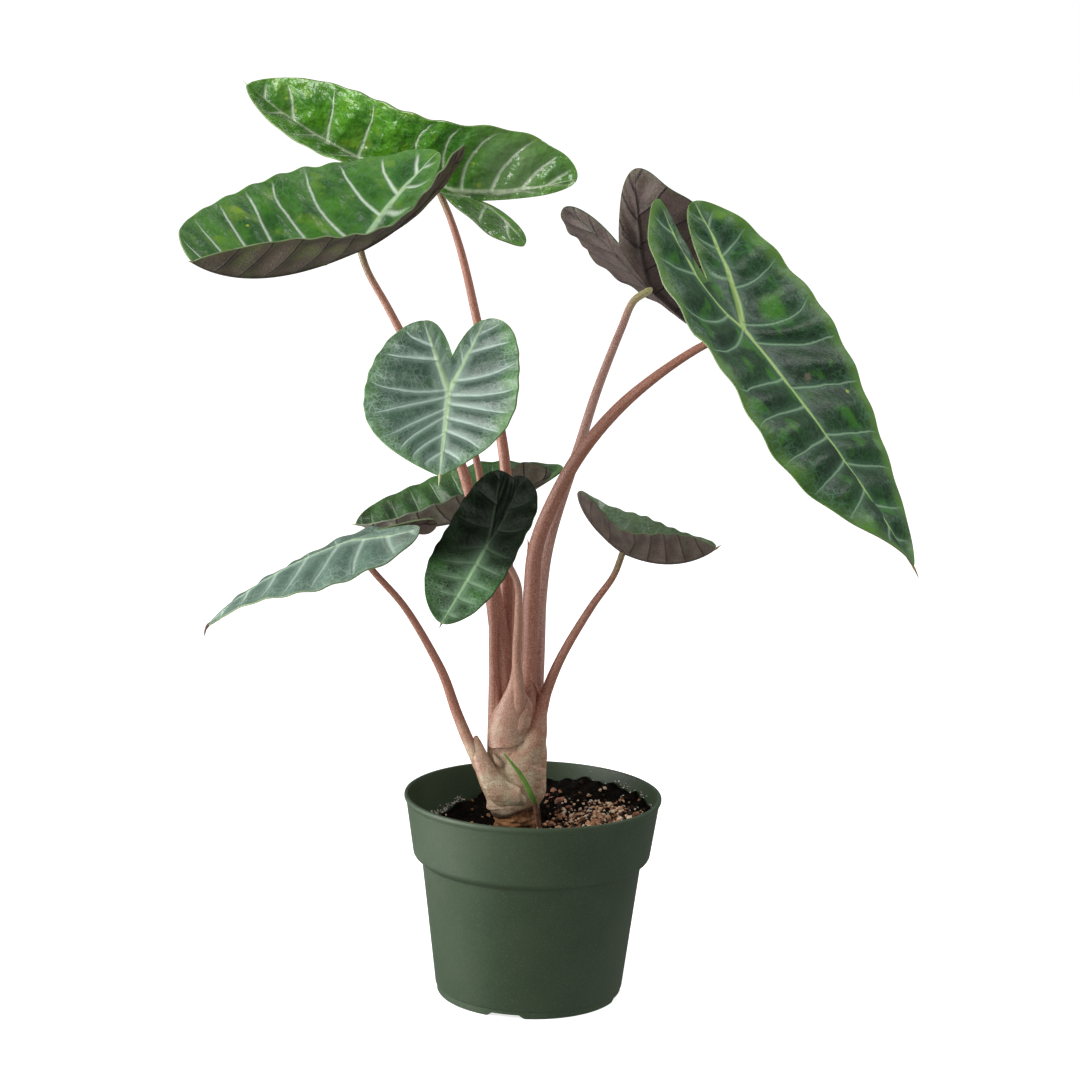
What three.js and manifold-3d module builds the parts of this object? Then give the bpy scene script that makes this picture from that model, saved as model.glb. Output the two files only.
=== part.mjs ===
// A potted house plant with arrow-shaped leaves, in millimetres with +Z up.
// The origin is the centre of the pot's base, and -Y faces the viewer.
import * as THREE from 'three';
import { mergeVertices } from 'three/addons/utils/BufferGeometryUtils.js';
import Module from 'manifold-3d';

const wasm = await Module();
wasm.setup();

// Clearance kept between neighbouring solids
const GAP = 0.3;
const UP = new THREE.Vector3(0, 0, 1);
const LEFT = 0;
const RIGHT = 1;

// Corners closer than one part of a millimetre in this many are the same
const CORNER_PARTS = 2000;
// Height above the whole plant's foot that cutters reach
const CUT_TOP = 160;

// Nursery pot
const POT = {
  height: 127,
  rimRadius: 80,
  wall: 1.5,
  footRadius: 57.5,
  footHeight: 3,
  floor: 1.8,
  wallFoot: 58.6,
  wallTop: 68.3,
  bandFoot: 85,
  bandBase: 74,
  bandTop: 78.6,
  bandTopHeight: 122.6,
  lip: 2.4,
  padRadius: 9,
  sides: 40,
  notches: 4,
  notchWidth: 27,
  notchHeight: 2.5,
  firstNotch: -104,
  drains: 8,
  drainRadius: 4,
  drainCircle: 42,
};

// Growing medium, whose surface is higher at the back right
const SOIL = {
  height: 101,
  slopeRight: 0.15,
  slopeBack: 0.18,
  bump: 1.6,
  heapX: 40,
  heapY: -6,
  heapRise: 4,
  heapSpread: 500,
  shoulder: 1.5,
  rings: 6,
  chips: 16,
  chipSize: 7,
  chipStart: 24,
  chipReach: 40,
};

// Rootstock that carries all the stalks
const CORM = { x: -10.5, y: 12, bottom: 72, top: 114, radius: 15.5, room: 1.2, sides: 16 };

// Leaf blade: flat sheet thickness and the ribs raised on its underside
const BLADE = {
  thick: 0.9,
  rib: 1.9,
  ribTaper: 0.7,
  firstMargin: 0.28,
  centreShare: 0.4,
  sinusCurve: 0.55,
  lobeFull: 2.4,
  fullSwell: 12,
  dropCurve: 1.2,
  waveShift: 140,
};
const ACROSS = [0, 0.08, 0.38, 0.7, 1];
const INNER = [0, 0.35, 1];
const STALK_SIDES = 10;

// Each leaf is given by where its stalk meets the blade, the way the midrib points there,
// its flat outline (left side first, then right), and how it bends. Angles are in degrees.
// fold and curl hold a value at the lobe end, at the stalk and at the tip for each side.
// A route climbs from the rootstock: x, y, z, width and depth of the stalk.
const LEAVES = {
  high_back: {
    at: [-68, 88, 494], azimuth: 162, pitch: 13, roll: -39, length: 144,
    lobes: [74, 84], width: [53, 52], spread: [37, 30], sinus: 28, bow: -0.7, full: [2.5, 2.5], sharp: 0.74,
    tipDrop: -27, lobeRise: 0, sweep: -10, twist: -19, lobeTwist: 3,
    fold: [[14, 49, 47], [39, 72, 39]], curl: [[0, -1, 6], [4, 20, 28]],
    veins: [6, 4], wave: 1.0, quilt: 1.2, phase: 0,
    route: [
      [-11, 20, 112, 12, 11], [-12, 20, 150, 10, 10], [-16.5, 19, 205, 8, 8], [-17, 19, 262, 7.2, 7.2],
      [-21, 22, 320, 7, 7], [-28, 34, 361, 6.6, 6.6], [-41, 56, 411, 5.6, 5.6], [-52.5, 75, 453.5, 5, 5],
      [-61, 84, 477, 4.4, 4.4],
    ],
  },
  high_left: {
    at: [-110, -15, 464], azimuth: 220, pitch: -19, roll: -27, length: 142,
    lobes: [88, 88], width: [58, 67], spread: [36, 33], sinus: 31, bow: 0.4, full: [2.6, 2.6], sharp: 0.58,
    tipDrop: -46, lobeRise: 28, sweep: 3, twist: -22, lobeTwist: 21,
    fold: [[54, 48, 81], [8, 19, -10]], curl: [[-6, 7, -3], [2, -5, 6]],
    veins: [6, 4], wave: 1.0, quilt: 1.2, phase: 80,
    route: [
      [-15, 11, 112, 13, 11], [-17, 10, 150, 12, 10], [-20.5, 9, 205, 10.4, 9], [-31, 4, 265, 7.6, 7.4],
      [-48, -1, 331, 6.4, 6.4], [-70, -6, 382, 5.4, 5.4], [-93, -11.5, 427, 4.6, 4.6],
      [-106, -14, 450, 4.2, 4.2],
    ],
  },
  round_front: {
    at: [-55, -45, 383], azimuth: 264, pitch: -59, roll: 13, length: 55,
    lobes: [42, 47], width: [52, 52], spread: [23, 20], sinus: 23, bow: 0, full: [2.4, 2.4], sharp: 0.91,
    tipDrop: -5, lobeRise: 2, sweep: 0, twist: -3, lobeTwist: 4,
    fold: [[11, 17, 13], [8, 8, 12]], curl: [[14, 5, -15], [-15, -4, -4]],
    veins: [5, 3], wave: 0.7, quilt: 1.0, phase: 30,
    route: [
      [-15.5, 6, 112, 9, 9], [-19, 5, 150, 7.5, 7.5], [-26, 4, 205, 6, 6], [-27, -3, 235, 5.4, 5.4],
      [-30, -13, 275, 5, 5], [-35, -26, 322, 4.6, 4.6], [-41, -35, 350, 4.2, 4.2],
      [-50, -39.5, 374, 3.8, 3.8],
    ],
  },
  big_right: {
    at: [118, -25, 422], azimuth: 331, pitch: -45, roll: -2, length: 175,
    lobes: [89, 89], width: [67, 68], spread: [33, 30], sinus: 36, bow: 1, full: [2.3, 3.2], sharp: 0.85,
    tipDrop: 8, lobeRise: 15, sweep: 0, twist: -15, lobeTwist: -13,
    fold: [[5, 23, 21], [18, 2, 15]], curl: [[62, 2, -22], [-55, -3, -109]],
    veins: [6, 4], wave: 0.9, quilt: 1.4, phase: 200,
    route: [
      [-6, 9.5, 112, 14, 13], [-5, 8, 150, 12, 12], [-4.6, 5.5, 212, 10.4, 10.2], [-4, 0.6, 254, 10.2, 10],
      [-1.5, -3.5, 284.5, 9.6, 9.4], [11.5, -9, 320, 8.8, 8.6], [25, -13, 345, 8, 8],
      [47, -18, 373, 7.2, 7.2],
      [74, -22, 397, 5.6, 5.6], [98, -24, 413, 4.8, 4.8],
    ],
  },
  high_right: {
    at: [65.7, 77, 436.7], azimuth: 48.5, pitch: -31.9, roll: -15.2, length: 141,
    lobes: [68, 85], width: [62, 62], spread: [42, 34], sinus: 40, bow: -0.2, full: [2.5, 2.5], sharp: 0.78,
    tipDrop: 2, lobeRise: 54, sweep: -5, twist: -6.5, lobeTwist: 21.9,
    fold: [[8.3, 40.5, 54], [6, 43.4, 15]], curl: [[-9, -16.2, -9.3], [14, 17.4, 0]],
    veins: [6, 4], wave: 1.0, quilt: 1.2, phase: 140,
    route: [
      [-1, 19, 112, 11, 10], [0, 18, 150, 9, 9], [1.8, 17.5, 210, 7, 7], [2.4, 20.5, 250, 7, 7],
      [8, 29, 281, 7, 6.8], [24.2, 43, 341.2, 6.4, 6.4], [33.8, 53.5, 372.6, 5.8, 5.8],
      [48.5, 66.5, 411, 5, 5], [56, 72, 428, 4.8, 4.8],
    ],
  },
  dark_front: {
    at: [-29, -60, 296], azimuth: 233, pitch: -47, roll: -2, length: 60,
    lobes: [44, 45], width: [30, 30], spread: [7, 9], sinus: 42, bow: 0.4, full: [2.4, 2.4], sharp: 0.58,
    tipDrop: -2, lobeRise: 29, sweep: -4, twist: -9, lobeTwist: 1,
    fold: [[12, 15, 11], [8, 13, 23]], curl: [[-12, 5, 3], [-1, -5, 4]],
    veins: [5, 3], wave: 0.5, quilt: 1.0, phase: 250,
    route: [
      [-13.5, 7, 112, 26, 17], [-15, 6.5, 158, 29, 18], [-14.5, 1.5, 171, 24, 14], [-10.5, -5, 186, 9, 6.5],
      [-12, -18, 217.5, 5.4, 5.2], [-11.4, -34, 249.5, 4.6, 4.4], [-12, -43, 267, 4.2, 4.2],
      [-19, -51.5, 283, 3.8, 3.8],
    ],
  },
  low_left: {
    at: [-112, -38, 291], azimuth: 171, pitch: -22, roll: -3, length: 108,
    lobes: [46, 46], width: [47, 48], spread: [21, 21], sinus: 16, bow: 0.4, full: [2.1, 2.1], sharp: 0.88,
    tipDrop: 24, lobeRise: 9, sweep: -4, twist: -10, lobeTwist: 7,
    fold: [[-29, -14, -1], [-25, -12, -3]], curl: [[6, -9, 22], [0, 16, -25]],
    veins: [5, 3], wave: 0.8, quilt: 1.0, phase: 310,
    route: [
      [-14.5, 7, 110, 27, 21], [-17, 5.5, 120, 25, 18], [-26, 3, 133, 17, 12], [-35, 1.5, 150, 13, 8],
      [-47, 1, 176, 8, 7], [-56, -4.5, 200, 6.2, 6.2], [-63, -9, 215.5, 5.6, 5.6],
      [-81, -20.5, 248, 4.8, 4.8],
      [-100, -31, 272, 4.4, 4.4],
    ],
  },
  mid_back: {
    at: [-32, 74, 292], azimuth: 184, pitch: -20, roll: -9, length: 87,
    lobes: [46, 54], width: [40, 41], spread: [14, 16], sinus: 18, bow: 0.2, full: [2.5, 2.5], sharp: 0.64,
    tipDrop: -31, lobeRise: 7, sweep: 2, twist: -11, lobeTwist: 8,
    fold: [[39, 47, 31], [17, 25, 22]], curl: [[38, -8, 23], [-8, 13, -11]],
    veins: [5, 3], wave: 0.8, quilt: 1.0, phase: 20,
    route: [
      [-18, 17, 112, 9, 9], [-18.5, 21, 155, 7.5, 7.5], [-21, 36, 205, 6, 6], [-25, 55, 250, 5, 5],
      [-29.5, 68, 278, 4.2, 4.2],
    ],
  },
  low_right: {
    at: [52, 5, 281], azimuth: 336, pitch: -19, roll: -2, length: 63,
    lobes: [50, 48], width: [30, 29], spread: [12, 12], sinus: 10, bow: 0.2, full: [2.5, 2.5], sharp: 0.49,
    tipDrop: -56, lobeRise: 43, sweep: 0, twist: -1, lobeTwist: -14,
    fold: [[18, 43, 26], [32, 42, 54]], curl: [[8, -6, 12], [16, -8, 5]],
    veins: [5, 3], wave: 0.5, quilt: 0.8, phase: 120,
    route: [
      [-2, 9, 112, 17, 21], [-0.5, 8.5, 150, 16, 18], [0.5, 8, 166, 14, 13], [6.5, 9.5, 188.5, 7, 7],
      [15.5, 9, 212, 5.8, 5.8], [33.5, 7, 245, 4.8, 4.8], [46.5, 5.6, 265, 4, 4],
    ],
  },
};

// Stalks from the innermost to the outermost: each one clasps those before it
const STALK_ORDER = [
  'big_right', 'high_left', 'high_right', 'high_back', 'round_front',
  'mid_back', 'dark_front', 'low_right', 'low_left',
];

const COLOURS = {
  high_back: 0x3f7a2c, high_left: 0x47803a, round_front: 0x55806a, big_right: 0x2f5a3c, high_right: 0x4c4340,
  dark_front: 0x22402c, low_left: 0x6c8a7c, mid_back: 0x35562f, low_right: 0x51463f,
};

const radians = THREE.MathUtils.degToRad;
const vector = (x, y, z) => new THREE.Vector3(x, y, z);

// A repeatable stream of numbers between 0 and 1
function seededRandom(seed) {
  let state = seed;
  return () => {
    state = (state * 16807) % 2147483647;
    return state / 2147483647;
  };
}

// A mesh whose equal corners are shared and whose flat faces are dropped
class SolidMesh {
  constructor() {
    this.positions = [];
    this.faces = [];
    this.known = new Map();
  }

  corner(point) {
    const key = point.toArray().map((value) => Math.round(value * CORNER_PARTS)).join(',');
    if (!this.known.has(key)) {
      this.known.set(key, this.positions.length / 3);
      this.positions.push(point.x, point.y, point.z);
    }
    return this.known.get(key);
  }

  triangle(a, b, c) {
    if (a !== b && b !== c && c !== a) {
      this.faces.push(a, b, c);
    }
  }

  quad(a, b, c, d, flipped) {
    if (flipped) {
      this.triangle(a, c, b);
      this.triangle(a, d, c);
    } else {
      this.triangle(a, b, c);
      this.triangle(a, c, d);
    }
  }

  geometry() {
    const geometry = new THREE.BufferGeometry();
    geometry.setAttribute('position', new THREE.Float32BufferAttribute(this.positions, 3));
    geometry.setIndex(this.faces);
    return geometry;
  }
}

// Turns a closed geometry into a solid for cutting and joining
function solidOf(geometry) {
  const bare = geometry.clone();
  bare.deleteAttribute('normal');
  bare.deleteAttribute('uv');
  const merged = mergeVertices(bare, 1e-4);
  return new wasm.Manifold(new wasm.Mesh({
    numProp: 3,
    vertProperties: Float32Array.from(merged.attributes.position.array),
    triVerts: Uint32Array.from(merged.index.array),
  }));
}

function geometryOf(solid) {
  const mesh = solid.getMesh();
  const geometry = new THREE.BufferGeometry();
  geometry.setAttribute('position', new THREE.BufferAttribute(new Float32Array(mesh.vertProperties), 3));
  geometry.setIndex(Array.from(mesh.triVerts));
  return geometry;
}

// The largest separate body of a solid, once its slivers are cut off
function largestBody(solid) {
  const bodies = solid.decompose();
  return bodies.reduce((best, body) => (body.volume() > best.volume() ? body : best));
}

// A turned solid from a profile of radius and height that closes on itself or on the axis
function turned(profile, sides) {
  const points = profile.map(([radius, height]) => new THREE.Vector2(radius, height));
  const geometry = new THREE.LatheGeometry(points, sides);
  geometry.rotateX(Math.PI / 2);
  return solidOf(geometry);
}

function cylinder(radius, bottom, top, x, y, sides) {
  const geometry = new THREE.CylinderGeometry(radius, radius, top - bottom, sides);
  geometry.rotateX(Math.PI / 2);
  geometry.translate(x, y, (bottom + top) / 2);
  return solidOf(geometry);
}

// The pot's inner wall from the floor up, as radius and height
function insideProfile() {
  const { wallFoot, wallTop, bandFoot, bandBase, bandTop, bandTopHeight, footHeight, floor, wall } = POT;
  return [
    [wallFoot - wall - 3, footHeight + floor],
    [wallFoot - wall + 0.4, footHeight + floor + 3],
    [wallTop - wall, bandFoot - 0.4],
    [wallTop + 3.6 - wall, bandFoot + 4.2],
    [bandBase - wall, bandFoot + 6],
    [bandTop - wall, bandTopHeight],
  ];
}

// Inner radius of the pot's wall at a height
function potInside(height) {
  const profile = insideProfile();
  const above = Math.max(1, profile.findIndex(([, z]) => z >= height));
  const [[lowRadius, low], [highRadius, high]] = profile.slice(above - 1, above + 1);
  return THREE.MathUtils.mapLinear(height, low, high, lowRadius, highRadius);
}

// The shell of the pot: pad and foot ring below, plain wall, stepped-out band and rolled lip
function potShell() {
  const { height, rimRadius, footRadius, footHeight, floor, wallFoot, wallTop } = POT;
  const { bandFoot, bandBase, bandTop, bandTopHeight, lip, padRadius, sides } = POT;
  const inner = footRadius - 3.5;
  const profile = [
    [0, 0],
    [padRadius, 0],
    [padRadius + 0.8, footHeight],
    [inner - 1, footHeight],
    [inner, 0],
    [footRadius - 0.6, 0],
    [footRadius, 0.7],
    [footRadius + 0.4, 4.6],
    [wallFoot, 5.4],
    [wallTop, bandFoot - 1],
    [wallTop + 2.6, bandFoot + 1.2],
    [wallTop + 4.7, bandFoot + 3.4],
    [bandBase, bandFoot + 6],
    [bandTop, bandTopHeight],
    [rimRadius - 0.5, height - lip - 0.9],
    [rimRadius, height - lip + 0.2],
    [rimRadius, height - 0.7],
    [rimRadius - 0.7, height],
    [rimRadius - 1.9, height],
    [rimRadius - 2.4, height - 0.6],
    ...insideProfile().reverse(),
    [0, footHeight + floor],
  ];
  return turned(profile, sides);
}

// One notch in the foot ring, wider at the floor than at its top
function footNotch(angle) {
  const { footRadius, notchWidth, notchHeight } = POT;
  const half = notchWidth / 2;
  const outline = new THREE.Shape([
    new THREE.Vector2(-half, -1),
    new THREE.Vector2(half, -1),
    new THREE.Vector2(half - 1, 0),
    new THREE.Vector2(half - 5, notchHeight),
    new THREE.Vector2(5 - half, notchHeight),
    new THREE.Vector2(1 - half, 0),
  ]);
  const geometry = new THREE.ExtrudeGeometry(outline, { depth: 16, bevelEnabled: false });
  geometry.rotateX(Math.PI / 2);
  geometry.translate(0, footRadius + 4, 0);
  geometry.rotateZ(radians(angle) - Math.PI / 2);
  return solidOf(geometry);
}

function makePot() {
  const { notches, firstNotch, drains, drainRadius, drainCircle, footHeight, floor } = POT;
  let pot = potShell();
  for (let i = 0; i < notches; i += 1) {
    pot = pot.subtract(footNotch(firstNotch + (360 * i) / notches));
  }
  for (let i = 0; i < drains; i += 1) {
    const angle = (2 * Math.PI * (i + 0.5)) / drains;
    const x = drainCircle * Math.cos(angle);
    const y = drainCircle * Math.sin(angle);
    pot = pot.subtract(cylinder(drainRadius, footHeight - 1, footHeight + floor + 1, x, y, 10));
  }
  return geometryOf(pot);
}

// Height of the growing medium, with a rounded bark heap at the right and soft lumps
function soilHeight(x, y) {
  const { height, slopeRight, slopeBack, bump, heapX, heapY, heapRise, heapSpread } = SOIL;
  const lumps = Math.sin(x * 0.21 + 1) * Math.cos(y * 0.19) + 0.6 * Math.sin(x * 0.43 - y * 0.37);
  const heap = heapRise * Math.exp(-((x - heapX) ** 2 + (y - heapY) ** 2) / heapSpread);
  return height + slopeRight * x + slopeBack * y + bump * lumps + heap;
}

// One chip of bark, half sunk in the surface
function barkChip(random) {
  const angle = random() * 2 * Math.PI;
  const reach = SOIL.chipStart + random() * SOIL.chipReach;
  const x = CORM.x + reach * Math.cos(angle);
  const y = CORM.y + reach * Math.sin(angle);
  const size = SOIL.chipSize * (0.6 + random() * 0.8);
  const geometry = new THREE.BoxGeometry(size, size * 0.6, size * 0.4);
  geometry.rotateX((random() - 0.5) * 0.9);
  geometry.rotateY((random() - 0.5) * 0.9);
  geometry.rotateZ(random() * Math.PI);
  geometry.translate(x, y, soilHeight(x, y) + size * 0.06);
  const inside = Math.hypot(x, y) + size < potInside(soilHeight(x, y)) - 1;
  return inside ? solidOf(geometry) : null;
}

// One upright line of the soil: up the pot's wall, then inwards over the surface
function soilColumn(angle) {
  const { rings, shoulder: drop } = SOIL;
  const across = (radius, z) => vector(radius * Math.cos(angle), radius * Math.sin(angle), z);
  const clear = 2 * GAP;
  const wallLine = insideProfile().slice(0, -1).map(([radius, z]) => across(radius - clear, z + GAP));
  let edge = potInside(SOIL.height);
  for (let i = 0; i < 6; i += 1) {
    const point = across(edge, 0);
    edge = potInside(soilHeight(point.x, point.y) - drop) - clear - 1;
  }
  const surface = [];
  for (let i = 0; i < rings; i += 1) {
    const point = across(edge * (1 - i / rings), 0);
    surface.push(point.setZ(soilHeight(point.x, point.y)));
  }
  const shoulder = surface[0].z - drop;
  const below = wallLine.filter((point) => point.z < shoulder - 1);
  while (below.length < wallLine.length) {
    const z = shoulder - 0.8 * (wallLine.length - below.length);
    below.push(across(potInside(z) - clear, z));
  }
  return [...below, across(potInside(shoulder) - clear, shoulder), ...surface];
}

function makeSoil() {
  const { chips } = SOIL;
  const { sides } = POT;
  const floorTop = POT.footHeight + POT.floor + GAP;
  const mesh = new SolidMesh();
  const bottom = mesh.corner(vector(0, 0, floorTop));
  const top = mesh.corner(vector(0, 0, soilHeight(0, 0)));
  for (let i = 0; i < sides; i += 1) {
    const here = soilColumn((2 * Math.PI * i) / sides).map((point) => mesh.corner(point));
    const next = soilColumn((2 * Math.PI * ((i + 1) % sides)) / sides).map((point) => mesh.corner(point));
    mesh.triangle(bottom, next[0], here[0]);
    for (let j = 0; j + 1 < here.length; j += 1) {
      mesh.quad(here[j], next[j], next[j + 1], here[j + 1], false);
    }
    mesh.triangle(top, here[here.length - 1], next[next.length - 1]);
  }
  let soil = solidOf(mesh.geometry());
  const random = seededRandom(11);
  for (let i = 0; i < chips; i += 1) {
    const chip = barkChip(random);
    soil = chip ? soil.add(chip) : soil;
  }
  const hole = cylinder(CORM.radius + CORM.room, CORM.bottom - 1, CUT_TOP, CORM.x, CORM.y, 24);
  return largestBody(soil.subtract(hole).subtract(sproutHole()));
}

// The rootstock, ringed by the scars of old leaves, with a few dry pointed scales
function cormSolid(grow) {
  const { x, y, bottom, top, radius, sides } = CORM;
  const profile = [
    [0, bottom - grow],
    [radius - 4 + grow, bottom - grow],
    [radius + grow, bottom + 8],
    [radius + grow, top - 12],
    [radius - 1.4 + grow, top - 10],
    [radius - 0.6 + grow, top - 7],
    [radius - 2.6 + grow, top - 5.5],
    [radius - 3.2 + grow, top - 3],
    [radius - 7 + grow, top - 0.6 + grow],
    [0, top + grow],
  ];
  return turned(profile, sides).translate([x, y, 0]);
}

// Rings of corners around a path, as a closed tube. Each ring has a centre, two axes and two sizes.
function ringTube(rings, sides) {
  const mesh = new SolidMesh();
  const corners = rings.map((ring) => ring.map((point) => mesh.corner(point)));
  const middle = (ring) => {
    const sum = ring.reduce((total, point) => total.add(point), vector(0, 0, 0));
    return mesh.corner(sum.divideScalar(ring.length));
  };
  const start = middle(rings[0]);
  const end = middle(rings[rings.length - 1]);
  const last = corners[corners.length - 1];
  for (let k = 0; k < sides; k += 1) {
    const next = (k + 1) % sides;
    mesh.triangle(start, corners[0][next], corners[0][k]);
    for (let i = 0; i + 1 < corners.length; i += 1) {
      mesh.quad(corners[i][k], corners[i][next], corners[i + 1][next], corners[i + 1][k], false);
    }
    mesh.triangle(end, last[k], last[next]);
  }
  return mesh.geometry();
}

// A stalk or sheath: an oval tube through a route of x, y, z, width and depth
function routeTube(route, side, grow, steps, topPlane) {
  const curve = new THREE.CatmullRomCurve3(route.map(([x, y, z]) => vector(x, y, z)), false, 'centripetal');
  const rings = [];
  for (let i = 0; i <= steps; i += 1) {
    const share = i / steps;
    const place = share * (route.length - 1);
    const from = Math.min(Math.floor(place), route.length - 2);
    const mix = place - from;
    const width = THREE.MathUtils.lerp(route[from][3], route[from + 1][3], mix) / 2 + grow;
    const depth = THREE.MathUtils.lerp(route[from][4], route[from + 1][4], mix) / 2 + grow;
    const centre = curve.getPoint(share);
    const along = curve.getTangent(share);
    const across = side.clone().addScaledVector(along, -side.dot(along)).normalize();
    const out = vector(0, 0, 0).crossVectors(along, across);
    const ring = [];
    for (let k = 0; k < STALK_SIDES; k += 1) {
      const turn = (2 * Math.PI * k) / STALK_SIDES;
      const point = centre.clone();
      point.addScaledVector(across, width * Math.cos(turn));
      point.addScaledVector(out, depth * Math.sin(turn));
      if (topPlane && i === steps) {
        const rise = topPlane.point.clone().sub(point).dot(topPlane.normal) / along.dot(topPlane.normal);
        point.addScaledVector(along, rise);
      }
      ring.push(point);
    }
    rings.push(ring);
  }
  return ringTube(rings, STALK_SIDES);
}

// Eases from the lobe end's value through the value at the stalk to the tip's value
function eased([lobe, middle, tip], share) {
  const end = share < 0 ? lobe : tip;
  const ease = share * share * (3 - 2 * Math.abs(share));
  return middle + (end - middle) * ease;
}

// The bent midrib line of a leaf: places and frames from the longer lobe's end to the tip
class Midrib {
  constructor(leaf) {
    const steps = 40;
    const back = Math.max(...leaf.lobes);
    const azimuth = radians(leaf.azimuth);
    const pitch = radians(leaf.pitch);
    const roll = radians(leaf.roll);
    const flat = Math.cos(pitch);
    const forward = vector(flat * Math.cos(azimuth), flat * Math.sin(azimuth), Math.sin(pitch));
    const level = vector(-Math.sin(azimuth), Math.cos(azimuth), 0);
    const above = vector(0, 0, 0).crossVectors(forward, level);
    this.forward = forward;
    this.side = level.clone().multiplyScalar(Math.cos(roll)).addScaledVector(above, Math.sin(roll));
    this.normal = above.clone().multiplyScalar(Math.cos(roll)).addScaledVector(level, -Math.sin(roll));
    this.leaf = leaf;
    this.back = back;
    this.steps = steps;
    const ahead = this.walk(leaf.length, steps, 1);
    const behind = this.walk(back, steps, -1);
    this.frames = [...behind.reverse().slice(0, -1), ...ahead];
  }

  // The frame at a share of the way to the tip (positive) or to the lobe end (negative)
  frameAt(share) {
    const { leaf } = this;
    const ahead = radians(leaf.tipDrop) * Math.max(share, 0) ** BLADE.dropCurve;
    const bend = share >= 0 ? ahead : radians(leaf.lobeRise) * share;
    const sweep = radians(leaf.sweep) * Math.max(share, 0);
    const along = this.forward.clone().multiplyScalar(Math.cos(bend) * Math.cos(sweep));
    along.addScaledVector(this.side, Math.cos(bend) * Math.sin(sweep));
    along.addScaledVector(this.normal, share >= 0 ? -Math.sin(bend) : Math.sin(bend));
    along.normalize();
    const side = this.side.clone().addScaledVector(along, -this.side.dot(along)).normalize();
    const normal = vector(0, 0, 0).crossVectors(along, side);
    const twist = share >= 0 ? radians(leaf.twist) * share : radians(leaf.lobeTwist) * -share;
    return {
      along,
      side: side.clone().multiplyScalar(Math.cos(twist)).addScaledVector(normal, Math.sin(twist)),
      normal: normal.clone().multiplyScalar(Math.cos(twist)).addScaledVector(side, -Math.sin(twist)),
    };
  }

  walk(reach, steps, direction) {
    let frame = this.frameAt(0);
    let place = vector(...this.leaf.at);
    const frames = [{ x: 0, place, ...frame }];
    for (let i = 1; i <= steps; i += 1) {
      const share = (direction * i) / steps;
      const next = this.frameAt(share);
      const step = frame.along.clone().add(next.along).multiplyScalar((direction * reach) / steps / 2);
      place = place.clone().add(step);
      frame = next;
      frames.push({ x: share * reach, place, ...frame });
    }
    return frames;
  }

  // The frame at a distance along the midrib, between two kept ones
  at(x) {
    const reach = x < 0 ? this.back : this.leaf.length;
    const position = this.steps + (x / reach) * this.steps;
    const from = THREE.MathUtils.clamp(Math.floor(position), 0, 2 * this.steps - 1);
    const mix = position - from;
    const a = this.frames[from];
    const b = this.frames[from + 1];
    return {
      place: a.place.clone().lerp(b.place, mix),
      side: a.side.clone().lerp(b.side, mix),
      normal: a.normal.clone().lerp(b.normal, mix),
    };
  }
}

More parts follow.
